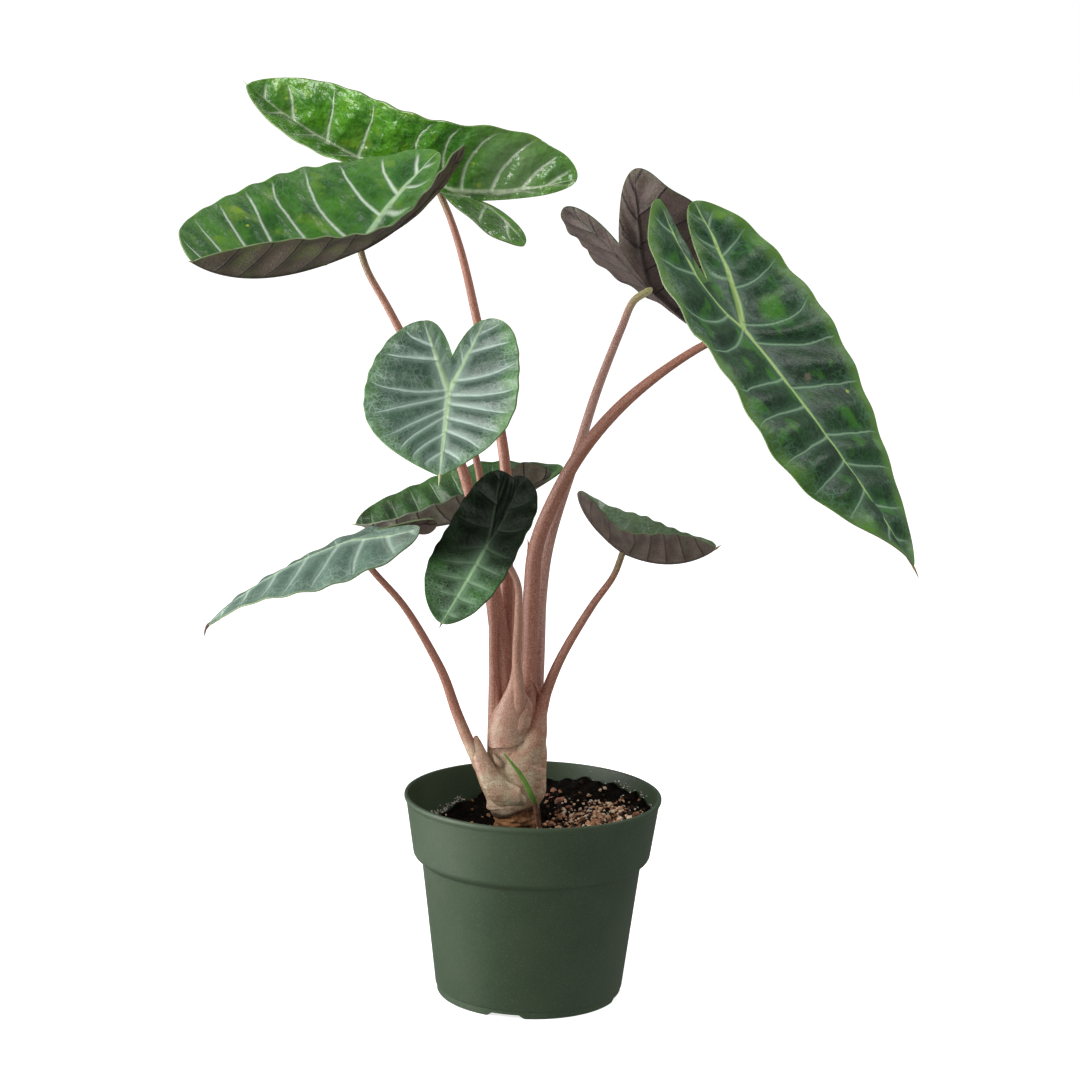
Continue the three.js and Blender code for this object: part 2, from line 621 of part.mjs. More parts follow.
// The folded, curled and waved sheet of a leaf: flat x along the midrib and y away from it
class Sheet {
  constructor(leaf) {
    this.leaf = leaf;
    this.midrib = new Midrib(leaf);
  }

  place(x, y, side) {
    const { leaf, midrib } = this;
    const frame = midrib.at(x);
    const share = THREE.MathUtils.clamp(x / (x < 0 ? midrib.back : leaf.length), -1, 1);
    const half = leaf.width[side];
    const fold = radians(eased(leaf.fold[side], share));
    const bend = (radians(eased(leaf.curl[side], share)) * y) / half / 2;
    const reach = y * (Math.abs(bend) < 1e-6 ? 1 : Math.sin(bend) / bend);
    const outward = side === LEFT ? 1 : -1;
    const start = radians(leaf.phase + BLADE.waveShift * side);
    const cycle = (2 * Math.PI * leaf.veins[0] * x) / leaf.length + start;
    const wave = leaf.wave * (y / half) ** 2 * Math.sin(cycle);
    const point = frame.place.clone();
    point.addScaledVector(frame.side, outward * reach * Math.cos(fold + bend));
    return point.addScaledVector(frame.normal, reach * Math.sin(fold + bend) + wave);
  }

  normal(x, y, side) {
    if (y < 1e-6) {
      return this.midrib.at(x).normal.normalize();
    }
    const reach = x < 0 ? -this.midrib.back : this.leaf.length;
    const step = Math.sign(reach) * Math.min(0.5, Math.abs(reach - x) + 1e-3);
    const here = this.place(x, y, side);
    const along = this.place(x - step, y, side).sub(here).multiplyScalar(-Math.sign(step));
    const across = this.place(x, y + 0.5, side).sub(here);
    const normal = vector(0, 0, 0).crossVectors(along, across).normalize();
    return side === LEFT ? normal : normal.negate();
  }

  // Half width of the outer margin at a distance along the midrib
  outerWidth(x, side) {
    const { leaf } = this;
    const half = leaf.width[side];
    if (x >= 0) {
      return half * Math.max(0, 1 - (x / leaf.length) ** leaf.full[side]) ** leaf.sharp;
    }
    const spread = leaf.spread[side];
    const rest = Math.max(0, 1 - (-x / leaf.lobes[side]) ** BLADE.lobeFull);
    return spread + (half - spread) * Math.sqrt(rest);
  }

  // The rib path: the midrib for positive stations, the basal rib for negative ones
  rib(station, side) {
    const { leaf } = this;
    if (station >= 0) {
      return [leaf.length * station, 0];
    }
    const share = -station;
    return [-leaf.lobes[side] * share, leaf.spread[side] * (share + leaf.bow * share * (1 - share))];
  }

  margin(station, side) {
    const { leaf } = this;
    const first = BLADE.firstMargin * leaf.length;
    const lobe = leaf.lobes[side];
    const x = station >= 0
      ? first + (leaf.length - first) * station
      : first - (first + lobe) * Math.sin((-station * Math.PI) / 2);
    return [x, this.outerWidth(x, side)];
  }

  // The share of the basal rib at which the two halves part, set on a station
  centreShare() {
    const stations = 2 * this.leaf.veins[1];
    return Math.round(BLADE.centreShare * stations) / stations;
  }

  // The inner edge: the centre line out to the sinus, then the sinus edge to the lobe end
  innerEdge(station, side) {
    const { leaf } = this;
    const share = -station;
    const { sinusCurve } = BLADE;
    const centreShare = this.centreShare();
    if (share <= centreShare) {
      return [(-leaf.sinus * share) / centreShare, 0];
    }
    const turn = Math.sin((((share - centreShare) / (1 - centreShare)) * Math.PI) / 2);
    const x = -(leaf.sinus + (leaf.lobes[side] - leaf.sinus) * turn);
    return [x, leaf.spread[side] * (1 - Math.max(0, 1 - turn) ** sinusCurve)];
  }
}

// Builds the closed solid of a blade: top, ribbed underside and rim
class BladeBuilder {
  constructor(leaf) {
    this.leaf = leaf;
    this.sheet = new Sheet(leaf);
    this.mesh = new SolidMesh();
  }

  stations() {
    const [forward, lobe] = this.leaf.veins;
    const behind = Array.from({ length: 2 * lobe }, (_, i) => i / (2 * lobe) - 1);
    const ahead = Array.from({ length: 2 * forward + 1 }, (_, i) => i / (2 * forward));
    return [...behind, ...ahead];
  }

  // The blade swells between its veins and sinks at them
  swell(station, share) {
    const count = this.leaf.veins[station < 0 ? 1 : 0];
    return this.leaf.quilt * Math.cos(2 * Math.PI * count * station) * Math.sin(Math.PI * share);
  }

  corners(start, end, station, across, side) {
    const span = Math.hypot(end[0] - start[0], end[1] - start[1]);
    const share = span < 1e-3 ? 0 : across;
    const x = start[0] + (end[0] - start[0]) * share;
    const y = start[1] + (end[1] - start[1]) * share;
    const normal = this.sheet.normal(x, y, side);
    const rise = this.swell(station, share) * Math.min(1, span / BLADE.fullSwell);
    const middle = this.sheet.place(x, y, side).addScaledVector(normal, rise);
    const half = BLADE.thick / 2;
    const rib = share > 0 ? 0 : BLADE.rib * (1 - Math.abs(station)) ** BLADE.ribTaper;
    return {
      top: this.mesh.corner(middle.clone().addScaledVector(normal, half)),
      bottom: this.mesh.corner(middle.clone().addScaledVector(normal, -half - rib)),
    };
  }

  // One strip of the blade between two stations
  strip(before, after, flipped) {
    for (let j = 0; j + 1 < before.length; j += 1) {
      this.mesh.quad(before[j].top, after[j].top, after[j + 1].top, before[j + 1].top, flipped);
      this.mesh.quad(before[j].bottom, after[j].bottom, after[j + 1].bottom, before[j + 1].bottom, !flipped);
    }
  }

  rim(before, after, flipped) {
    this.mesh.quad(before.top, after.top, after.bottom, before.bottom, flipped);
  }

  half(side) {
    const { sheet } = this;
    const stations = this.stations();
    const flipped = side === RIGHT;
    const outer = stations.map((station) => ACROSS.map((share) => (
      this.corners(sheet.rib(station, side), sheet.margin(station, side), station, share, side))));
    for (let i = 0; i + 1 < stations.length; i += 1) {
      this.strip(outer[i], outer[i + 1], flipped);
      this.rim(outer[i][ACROSS.length - 1], outer[i + 1][ACROSS.length - 1], flipped);
    }
    const lobe = stations.filter((station) => station <= 0);
    const inner = lobe.map((station) => INNER.map((share) => (
      this.corners(sheet.rib(station, side), sheet.innerEdge(station, side), station, share, side))));
    for (let i = 0; i + 1 < lobe.length; i += 1) {
      this.strip(inner[i], inner[i + 1], !flipped);
      if (-lobe[i + 1] >= sheet.centreShare() - 1e-6) {
        this.rim(inner[i][INNER.length - 1], inner[i + 1][INNER.length - 1], !flipped);
      }
    }
  }

  geometry() {
    this.half(LEFT);
    this.half(RIGHT);
    return this.mesh.geometry();
  }
}

// A stalk that ends just under its blade, flat against the underside
function stalkSolid(name, grow) {
  const leaf = LEAVES[name];
  const { normal } = new Midrib(leaf);
  const top = leaf.route[leaf.route.length - 1];
  const droopingFold = Math.max(0, -Math.min(leaf.fold[LEFT][1], leaf.fold[RIGHT][1]));
  const clear = BLADE.thick / 2 + BLADE.rib + GAP + (top[3] / 2) * Math.sin(radians(droopingFold));
  const end = vector(...leaf.at).addScaledVector(normal, -clear);
  const route = [...leaf.route, [end.x, end.y, end.z, top[3], top[4]]];
  const away = Math.atan2(leaf.at[1] - CORM.y, leaf.at[0] - CORM.x);
  const side = vector(-Math.sin(away), Math.cos(away), 0);
  const steps = 2 * route.length;
  return solidOf(routeTube(route, side, grow, steps, { point: end, normal }));
}

// All the stalks, each trimmed clear of the rootstock and of those it clasps
function makeStalks() {
  const stalks = {};
  let taken = cormSolid(GAP);
  for (const name of STALK_ORDER) {
    stalks[name] = largestBody(stalkSolid(name, 0).subtract(taken));
    taken = taken.add(stalkSolid(name, GAP));
  }
  return stalks;
}

// A young shoot beside the rootstock: a pale stalk, a kink, a narrow blade and a dry scale
const SPROUT = {
  room: 3.2,
  stalk: [[4.6, 1.5, 90, 4, 3.4], [4.4, 1, 103, 3.4, 3], [2.6, -3.5, 114, 3, 2.4], [1.3, -9, 124.5, 2.6, 2]],
  blade: [
    [1.5, -8.6, 123, 2.6, 1.4], [-0.6, -11, 128, 3.6, 1.2], [-7, -12, 140.5, 3, 1.1],
    [-18.4, -12, 155, 0.9, 0.8],
  ],
  scale: [[4.8, 1.4, 92, 3.2, 2.4], [4.6, 0, 106, 2.4, 1.6], [4, -5, 119, 0.9, 0.8]],
};

function sproutSolid() {
  const side = vector(1, 0, 0);
  const routes = [SPROUT.stalk, SPROUT.blade, SPROUT.scale];
  const parts = routes.map((route) => solidOf(routeTube(route, side, 0, 8)));
  return parts.reduce((whole, part) => whole.add(part));
}

function sproutHole() {
  const [x, y] = SPROUT.stalk[0];
  return cylinder(SPROUT.room, SPROUT.stalk[0][2] - 1, CUT_TOP, x, y, 16);
}

// Colour and roughness of each kind of part
const FINISH = {
  pot: [0x3c5040, 0.45],
  soil: [0x4a3a2c, 0.95],
  corm: [0x5b4031, 0.85],
  stalk: [0x8c6455, 0.5],
  sprout: [0x7f9a4a, 0.5],
};

function makeMesh(name, geometry, colour, roughness) {
  const material = new THREE.MeshStandardMaterial({ color: colour, roughness, metalness: 0 });
  const mesh = new THREE.Mesh(geometry, material);
  mesh.name = name;
  return mesh;
}

function makePlant() {
  const plant = new THREE.Group();
  plant.up.copy(UP);
  plant.add(makeMesh('pot', makePot(), ...FINISH.pot));
  plant.add(makeMesh('soil', geometryOf(makeSoil()), ...FINISH.soil));
  plant.add(makeMesh('corm', geometryOf(cormSolid(0)), ...FINISH.corm));
  plant.add(makeMesh('sprout', geometryOf(sproutSolid()), ...FINISH.sprout));
  const stalks = makeStalks();
  for (const [name, leaf] of Object.entries(LEAVES)) {
    plant.add(makeMesh(`stalk_${name}`, geometryOf(stalks[name]), ...FINISH.stalk));
    plant.add(makeMesh(`blade_${name}`, new BladeBuilder(leaf).geometry(), COLOURS[name], 0.4));
  }
  return plant;
}

export default makePlant();
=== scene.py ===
"""Dresses a potted aroid house plant: quilted arrow-shaped leaves, stalks, pot and growing medium.

Lengths in the classes are millimetres and angles are degrees, as on the solid model.
Meshes are made in metres, with +Z up and -Y towards the viewer.
"""

import logging
import math
from dataclasses import dataclass, field
from enum import Enum

import bpy
import numpy as np
from mathutils import Euler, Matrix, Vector


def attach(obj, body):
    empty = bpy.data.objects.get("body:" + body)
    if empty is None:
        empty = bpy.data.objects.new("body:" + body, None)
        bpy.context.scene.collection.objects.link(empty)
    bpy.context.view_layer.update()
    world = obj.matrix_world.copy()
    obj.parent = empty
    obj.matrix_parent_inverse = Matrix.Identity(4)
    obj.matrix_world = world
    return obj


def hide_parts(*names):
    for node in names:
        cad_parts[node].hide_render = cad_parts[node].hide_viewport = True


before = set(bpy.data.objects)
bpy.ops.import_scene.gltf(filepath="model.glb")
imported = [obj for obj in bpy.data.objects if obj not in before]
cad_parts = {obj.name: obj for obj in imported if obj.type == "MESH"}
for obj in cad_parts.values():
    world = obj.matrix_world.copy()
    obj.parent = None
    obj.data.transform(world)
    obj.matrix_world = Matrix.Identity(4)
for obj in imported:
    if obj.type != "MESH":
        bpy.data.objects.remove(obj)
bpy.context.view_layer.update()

MM = 0.001
ROOT = "root"
LOG = logging.getLogger("plant")

Triple = tuple[float, float, float]
Pair = tuple[float, float]
# Stops of a tube: x, y and z of its middle, its width and its depth.
Route = list[tuple[float, float, float, float, float]]


class Side(Enum):
    """The two halves of a blade, seen from above with the tip ahead."""

    LEFT = 0
    RIGHT = 1

    @property
    def outward(self) -> int:
        """Sign of the way from the midrib to this half's margin."""
        return 1 if self is Side.LEFT else -1


class Panel(Enum):
    """The outer panel runs from the ribs to the margin, the inner one to the notch between the lobes."""

    OUTER = "outer"
    INNER = "inner"


def srgb(red: int, green: int, blue: int) -> tuple[float, float, float, float]:
    """Turn a colour as a screen shows it into the linear one that a shader takes.

    Args:
        red: Red from 0 to 255.
        green: Green from 0 to 255.
        blue: Blue from 0 to 255.

    Returns:
        Linear red, green, blue and an alpha of 1.
    """
    linear = []
    for part in (red, green, blue):
        share = part / 255
        linear.append(share / 12.92 if share <= 0.04045 else ((share + 0.055) / 1.055) ** 2.4)
    return (linear[0], linear[1], linear[2], 1.0)


class Graph:
    """A material's node tree with short calls for the nodes that the finishes share."""

    def __init__(self, name: str) -> None:
        """Start a material that has only its shader and its output.

        Args:
            name: Name of the material.
        """
        self.material = bpy.data.materials.new(name)
        self.material.use_nodes = True
        self.tree = self.material.node_tree
        self.shader = self.tree.nodes["Principled BSDF"]

    def node(self, kind: str, **settings: object) -> bpy.types.Node:
        """Add a node and set its own settings.

        Args:
            kind: Its type.
            **settings: Settings by name.

        Returns:
            The node.
        """
        made = self.tree.nodes.new(kind)
        for key, value in settings.items():
            setattr(made, key, value)
        return made

    def put(self, socket: bpy.types.NodeSocket, value: object) -> None:
        """Link a socket to another one, or set its value.

        Args:
            socket: Socket that is filled.
            value: A number, a colour or a socket.
        """
        if isinstance(value, bpy.types.NodeSocket):
            self.tree.links.new(value, socket)
        else:
            socket.default_value = value

    def shade(self, **inputs: object) -> None:
        """Fill sockets of the shader, whose names are given with _ for each space."""
        for key, value in inputs.items():
            self.put(self.shader.inputs[key.replace("_", " ")], value)

    def math(self, operation: str, *values: object) -> bpy.types.NodeSocket:
        """Calculate with one Math node.

        Args:
            operation: What it does.
            *values: Numbers or sockets.

        Returns:
            The result.
        """
        made = self.node("ShaderNodeMath", operation=operation)
        for socket, value in zip(made.inputs, values):
            self.put(socket, value)
        return made.outputs[0]

    def ease(self, value: object, start: float, end: float, low: float = 0.0, high: float = 1.0) -> object:
        """Blend smoothly from low at start to high at end.

        Args:
            value: Socket that is read.
            start: Value at which the blend begins.
            end: Value at which the blend ends.
            low: Result at and beyond the start.
            high: Result at and beyond the end.

        Returns:
            The socket that holds the blend.
        """
        made = self.node("ShaderNodeMapRange", interpolation_type="SMOOTHSTEP")
        for socket, number in zip(made.inputs, (value, start, end, low, high)):
            self.put(socket, number)
        return made.outputs[0]

    def mix(self, share: object, first: object, second: object) -> bpy.types.NodeSocket:
        """Mix two colours by a share of the second.

        Args:
            share: Share from 0 to 1.
            first: Colour at 0.
            second: Colour at 1.

        Returns:
            The mixed colour.
        """
        made = self.node("ShaderNodeMix", data_type="RGBA")
        self.put(made.inputs[0], share)
        self.put(made.inputs[6], first)
        self.put(made.inputs[7], second)
        return made.outputs[2]

    def attribute(self, name: str) -> bpy.types.NodeSocket:
        """Read a vector that the mesh carries."""
        return self.node("ShaderNodeAttribute", attribute_name=name).outputs["Vector"]

    def parts(self, vector: object) -> tuple:
        """Split a vector into its three numbers.

        Args:
            vector: Socket that is read.

        Returns:
            A socket for each number.
        """
        made = self.node("ShaderNodeSeparateXYZ")
        self.put(made.inputs[0], vector)
        return tuple(made.outputs)

    def place(self, scale: Triple = (1.0, 1.0, 1.0)) -> bpy.types.NodeSocket:
        """Place on the object in metres, stretched by a scale.

        Args:
            scale: Stretch along each axis.

        Returns:
            The place.
        """
        made = self.node("ShaderNodeMapping")
        self.put(made.inputs["Vector"], self.node("ShaderNodeTexCoord").outputs["Object"])
        made.inputs["Scale"].default_value = scale
        return made.outputs[0]

    def noise(self, vector: object, scale: float, detail: float = 2.0, rough: float = 0.5) -> object:
        """Soft cloudy pattern from 0 to 1.

        Args:
            vector: Place that it is read at.
            scale: Its fineness.
            detail: Number of finer layers.
            rough: Strength of the finer layers.

        Returns:
            The pattern.
        """
        made = self.node("ShaderNodeTexNoise")
        self.put(made.inputs["Vector"], vector)
        made.inputs["Scale"].default_value = scale
        made.inputs["Detail"].default_value = detail
        made.inputs["Roughness"].default_value = rough
        return made.outputs["Fac"]

    def cells(self, vector: object, scale: float) -> object:
        """Distance to the edge in a pattern of irregular cells.

        Args:
            vector: Place that it is read at.
            scale: Its fineness.

        Returns:
            The distance.
        """
        made = self.node("ShaderNodeTexVoronoi", feature="DISTANCE_TO_EDGE")
        self.put(made.inputs["Vector"], vector)
        made.inputs["Scale"].default_value = scale
        return made.outputs["Distance"]

    def bump(self, height: object, depth: float, strength: float) -> bpy.types.NodeSocket:
        """Raise the surface by a height pattern.

        Args:
            height: The pattern.
            depth: Height in metres where the pattern is 1.
            strength: Share of the rise.

        Returns:
            Direction of the raised surface.
        """
        made = self.node("ShaderNodeBump")
        made.inputs["Distance"].default_value = depth
        made.inputs["Strength"].default_value = strength
        self.put(made.inputs["Height"], height)
        self.put(self.shader.inputs["Normal"], made.outputs[0])
        return made.outputs[0]


class Face(Graph):
    """Node tree of a leaf's face, which knows where on the leaf each place lies.

    Attributes:
        flat: Place on the flat leaf.
        wander: Phase that is whole on each side vein.
        near: Distance from the nearest side vein, in millimetres.
        share: Share of the way from rib to margin.
        rib: Distance from the rib, in half widths of the rib.
        margin: Distance from the margin, in millimetres.
        station: Station on the rib, from the lobe's end (-1) over the stalk (0) to the tip (1).
    """

    def __init__(self, name: str, scale: float, reach: float) -> None:
        """Read the mesh's vectors and let the side veins wander on their way to the margin.

        Args:
            name: Name of the material.
            scale: Fineness of the wandering.
            reach: Its reach in whole phases.
        """
        super().__init__(name)
        self.flat = self.attribute("flat")
        phase, spacing, self.share = self.parts(self.attribute("vein"))
        self.rib, self.margin, self.station = self.parts(self.attribute("line"))
        sway = self.math("MULTIPLY_ADD", self.noise(self.flat, scale), reach, -reach / 2)
        self.wander = self.math("MULTIPLY_ADD", self.math("MULTIPLY", sway, self.share), 0.5, phase)
        self.near = self.math("MULTIPLY", self.math("PINGPONG", self.wander, 0.5), spacing)


@dataclass(frozen=True)
class Mark:
    """A spot on one leaf, given by its place on the flat leaf, its reach, its colour and its strength."""

    x: float
    y: float
    reach: float
    colour: tuple
    strength: float = 0.8


@dataclass(frozen=True)
class LeafFinish:
    """Colours and gloss of one leaf's upper face.

    dark and middle mix in the cloudy ground, silver is the bloom beside the veins, spine the
    colour of the ribs and patch that of scattered patches. silvering, veining, netting, edging
    and patches are the strengths of bloom, side veins, fine net, edge zone and patches. halo
    and lateral are the bloom's reach and a side vein's half width in millimetres, aura and
    breadth the same at a rib, in its half widths, and zone is the edge zone's width. gloss,
    sheen, coat and shine are roughness, specular level, coat and its roughness. puckers is the
    depth of the wrinkles, which the coat follows where it is wrinkled. painted_shade is painted
    shade that darkens the blade behind its stalk, as far as the station painted_shade_end.
    """

    dark: tuple
    middle: tuple
    vein: tuple
    silver: tuple
    margin: tuple
    spine: tuple
    patch: tuple = srgb(128, 158, 62)
    silvering: float = 0.5
    halo: float = 5.0
    veining: float = 0.8
    lateral: float = 0.7
    netting: float = 0.5
    edging: float = 0.4
    patches: float = 0.25
    gloss: float = 0.36
    sheen: float = 0.3
    coat: float = 0.25
    shine: float = 0.12
    puckers: float = 0.35
    painted_shade: float = 0.0
    painted_shade_end: float = 0.6
    breadth: float = 1.3
    aura: float = 5.5
    zone: float = 15.0
    marks: tuple[Mark, ...] = ()
    wrinkled: bool = False

    def top(self, name: str) -> bpy.types.Material:
        """Upper face: dark quilted fields, silver ribs and side veins, fine net and a pale edge.

        Args:
            name: Name of the material.

        Returns:
            The material.
        """
        g = Face(name, 0.06, 0.4)
        fading = g.ease(g.margin, 1, 11, 0, 1)
        slim = g.math("MULTIPLY_ADD", g.share, -0.55 * self.lateral, self.lateral)
        line = g.math("MULTIPLY", g.ease(g.math("DIVIDE", g.near, slim), 0.2, 1.9, 1, 0), fading)
        spine = g.ease(g.rib, 0.35 * self.breadth, self.breadth, 1, 0)
        minor = self.minor_veins(g)
        cell = self.net(g)
        bloom = g.math("MULTIPLY", self.bloom(g, fading), self.silvering)
        colour = g.mix(bloom, self.ground(g), self.silver)
        web = self.web(g, minor, cell)
        colour = g.mix(g.math("MULTIPLY", web, self.netting), colour, self.silver)
        colour = g.mix(g.math("MULTIPLY", line, self.veining), colour, self.vein)
        colour = g.mix(g.math("MULTIPLY", spine, 0.92), colour, self.spine)
        colour = g.mix(g.ease(g.margin, 0.2, 0.9, 0.7, 0), colour, self.margin)
        # Painted shade: the lobes and the blade on to a station ahead of the stalk are darkened towards the
        # dark colour.
        if self.painted_shade:
            colour = g.mix(g.ease(g.station, -0.1, self.painted_shade_end, self.painted_shade, 0), colour, self.dark)
        rough = g.math("MULTIPLY_ADD", g.noise(g.flat, 0.12, 3), 0.2, self.gloss - 0.1)
        g.shade(Base_Color=colour, Roughness=g.math("MULTIPLY_ADD", line, 0.08, rough))
        g.shade(Specular_IOR_Level=self.sheen, Coat_Weight=self.coat, Coat_Roughness=self.shine)
        facing = self.wrinkles(g, line, spine, minor, cell)
        if self.wrinkled:
            g.shade(Coat_Normal=facing)
        return g.material

    def ground(self, g: Face) -> bpy.types.NodeSocket:
        """Cloudy green with patches, single spots and a paler zone along the edge.

        Args:
            g: Node tree of the face.

        Returns:
            The colour below the veins.
        """
        colour = g.mix(g.ease(g.noise(g.flat, 0.035, 3, 0.6), 0.36, 0.66), self.dark, self.middle)
        patches = g.math("MULTIPLY", g.ease(g.noise(g.flat, 0.05, 3), 0.54, 0.68), self.patches)
        colour = g.mix(patches, colour, self.patch)
        for mark in self.marks:
            colour = g.mix(self.spot(g, mark), colour, mark.colour)
        edge = g.math("MULTIPLY", g.ease(g.margin, 0, self.zone, 1, 0), self.edging)
        uneven = g.ease(g.noise(g.flat, 0.028, 2), 0.35, 0.6, 0.3, 1)
        return g.mix(g.math("MULTIPLY", edge, uneven), colour, self.margin)

    def bloom(self, g: Face, fading: object) -> bpy.types.NodeSocket:
        """Silver bloom that is strongest beside the ribs and side veins and thin between them.

        Args:
            g: Node tree of the face.
            fading: Fading of the side veins before the margin.

        Returns:
            Strength from 0 to 1.
        """
        glow = g.math("POWER", g.ease(g.near, 0, self.halo, 1, 0), 1.5)
        glow = g.math("MULTIPLY", g.math("MULTIPLY", glow, g.ease(g.share, 0.35, 1, 1, 0.3)), fading)
        glow = g.math("MAXIMUM", glow, g.math("POWER", g.ease(g.rib, 0.8, self.aura, 1, 0), 1.4))
        speck = g.math("MULTIPLY_ADD", g.noise(g.flat, 1.3, 3, 0.7), 0.9, 0.55)
        return g.math("MULTIPLY", g.math("MULTIPLY_ADD", glow, 0.88, 0.12), speck)

    @staticmethod
    def web(g: Face, minor: object, cell: object) -> bpy.types.NodeSocket:
        """Fine veins and the net between them, clearer towards the margin.

        Args:
            g: Node tree of the face.
            minor: Strength of the fine veins.
            cell: Distance from the nearest thread of the net.

        Returns:
            Strength of the threads.
        """
        threads = g.math("MULTIPLY", g.ease(cell, 0.02, 0.14, 1, 0), 0.45)
        uneven = g.ease(g.noise(g.flat, 0.08, 2), 0.3, 0.65, 0.35, 1)
        web = g.math("MULTIPLY", g.math("MAXIMUM", minor, threads), uneven)
        return g.math("MULTIPLY", web, g.ease(g.margin, 6, 24, 1.25, 0.5))

    def wrinkles(self, g: Face, line: object, spine: object, minor: object, cell: object) -> object:
        """Raise the ribs, the meshes of the net and soft wrinkles, and sink the veins.

        Args:
            g: Node tree of the face.
            line: Strength of the side veins.
            spine: Strength of the ribs.
            minor: Strength of the fine veins.
            cell: Distance from the nearest thread of the net.

        Returns:
            Direction of the raised surface.
        """
        pillow = g.math("MULTIPLY", g.ease(cell, 0, 0.45), 0.12)
        height = g.math("MULTIPLY_ADD", line, -1.4, g.math("MULTIPLY_ADD", spine, 0.8, pillow))
        height = g.math("MULTIPLY_ADD", minor, -0.12, height)
        pucker = g.math("MULTIPLY", g.noise(g.flat, 0.11, 2, 0.45), self.puckers * 14)
        return g.bump(g.math("ADD", pucker, height), 0.0005, 0.8)

    @staticmethod
    def spot(g: Face, mark: Mark) -> bpy.types.NodeSocket:
        """Strength of a spot with an uneven edge.

        Args:
            g: Node tree of the face.
            mark: The spot.

        Returns:
            Strength, which fades to 0 around the spot.
        """
        gap = g.node("ShaderNodeVectorMath", operation="DISTANCE")
        g.put(gap.inputs[0], g.flat)
        gap.inputs[1].default_value = (mark.x, mark.y, 0.0)
        shaken = g.noise(g.flat, 0.9 / mark.reach, 3)
        uneven = g.math("MULTIPLY_ADD", shaken, 1.6 * mark.reach, gap.outputs["Value"])
        return g.ease(uneven, 1.1 * mark.reach, 1.9 * mark.reach, mark.strength, 0)

    @staticmethod
    def minor_veins(g: Face) -> bpy.types.NodeSocket:
        """Fine veins that run beside the side veins and join each other.

        Args:
            g: Node tree of the face.

        Returns:
            Strength from 0 to 1.
        """
        lay = g.node("ShaderNodeCombineXYZ")
        between = g.math("MULTIPLY", g.wander, 5.5)
        g.put(lay.inputs[0], g.math("MULTIPLY_ADD", g.noise(g.flat, 0.16, 2), 1.5, between))
        outward = g.math("MULTIPLY", g.rib, 0.3)
        g.put(lay.inputs[1], g.math("MULTIPLY_ADD", g.noise(g.flat, 0.3, 1), 0.6, outward))
        return g.ease(g.cells(lay.outputs[0], 1.0), 0.015, 0.1, 1, 0)

    @staticmethod
    def net(g: Face) -> bpy.types.NodeSocket:
        """Distance to the nearest thread of a fine uneven net.

        Args:
            g: Node tree of the face.

        Returns:
            Distance as a share of a mesh of the net.
        """
        bent = g.node("ShaderNodeVectorMath", operation="ADD")
        g.put(bent.inputs[0], g.flat)
        warp = g.node("ShaderNodeTexNoise")
        g.put(warp.inputs["Vector"], g.flat)
        warp.inputs["Scale"].default_value = 0.3
        stretch = g.node("ShaderNodeVectorMath", operation="SCALE")
        g.put(stretch.inputs[0], warp.outputs["Color"])
        stretch.inputs["Scale"].default_value = 4.0
        g.put(bent.inputs[1], stretch.outputs[0])
        return g.cells(bent.outputs[0], 0.4)


@dataclass(frozen=True)
class UnderFinish:
    """Colours of a leaf's lower face: cloudy ground and shade, dark veins and a greenish blush."""

    ground: tuple
    shade: tuple
    vein: tuple
    blush: tuple
    blushing: float = 0.2

    def under(self, name: str) -> bpy.types.Material:
        """Lower face: dull purple-brown fields between raised ribs and dark side veins.

        Args:
            name: Name of the material.

        Returns:
            The material.
        """
        g = Face(name, 0.05, 0.5)
        line = g.ease(g.near, 0.3, 1.0, 1, 0)
        net = g.ease(g.cells(g.flat, 0.3), 0.02, 0.12, 1, 0)
        grain = g.noise(g.flat, 1.1, 4, 0.7)
        colour = g.mix(g.ease(g.noise(g.flat, 0.05, 4, 0.6), 0.32, 0.68), self.shade, self.ground)
        patch = g.math("MULTIPLY", g.ease(g.noise(g.flat, 0.045, 2), 0.5, 0.7), self.blushing)
        colour = g.mix(patch, colour, self.blush)
        colour = g.mix(g.math("MULTIPLY", g.ease(g.margin, 0, 5, 1, 0), 0.35), colour, self.blush)
        colour = g.mix(g.math("MULTIPLY", grain, 0.35), colour, self.ground)
        colour = g.mix(g.math("MULTIPLY", net, 0.22), colour, self.vein)
        colour = g.mix(g.math("MULTIPLY", line, 0.85), colour, self.vein)
        colour = g.mix(g.ease(g.rib, 0.7, 1.7, 0.62, 0), colour, self.vein)
        g.shade(Base_Color=colour, Roughness=g.math("MULTIPLY_ADD", grain, 0.2, 0.48))
        g.shade(Specular_IOR_Level=0.28)
        fine = g.math("MULTIPLY_ADD", net, 0.3, g.math("MULTIPLY", grain, 0.3))
        g.bump(g.math("MULTIPLY_ADD", line, 0.9, fine), 0.0005, 0.7)
        return g.material


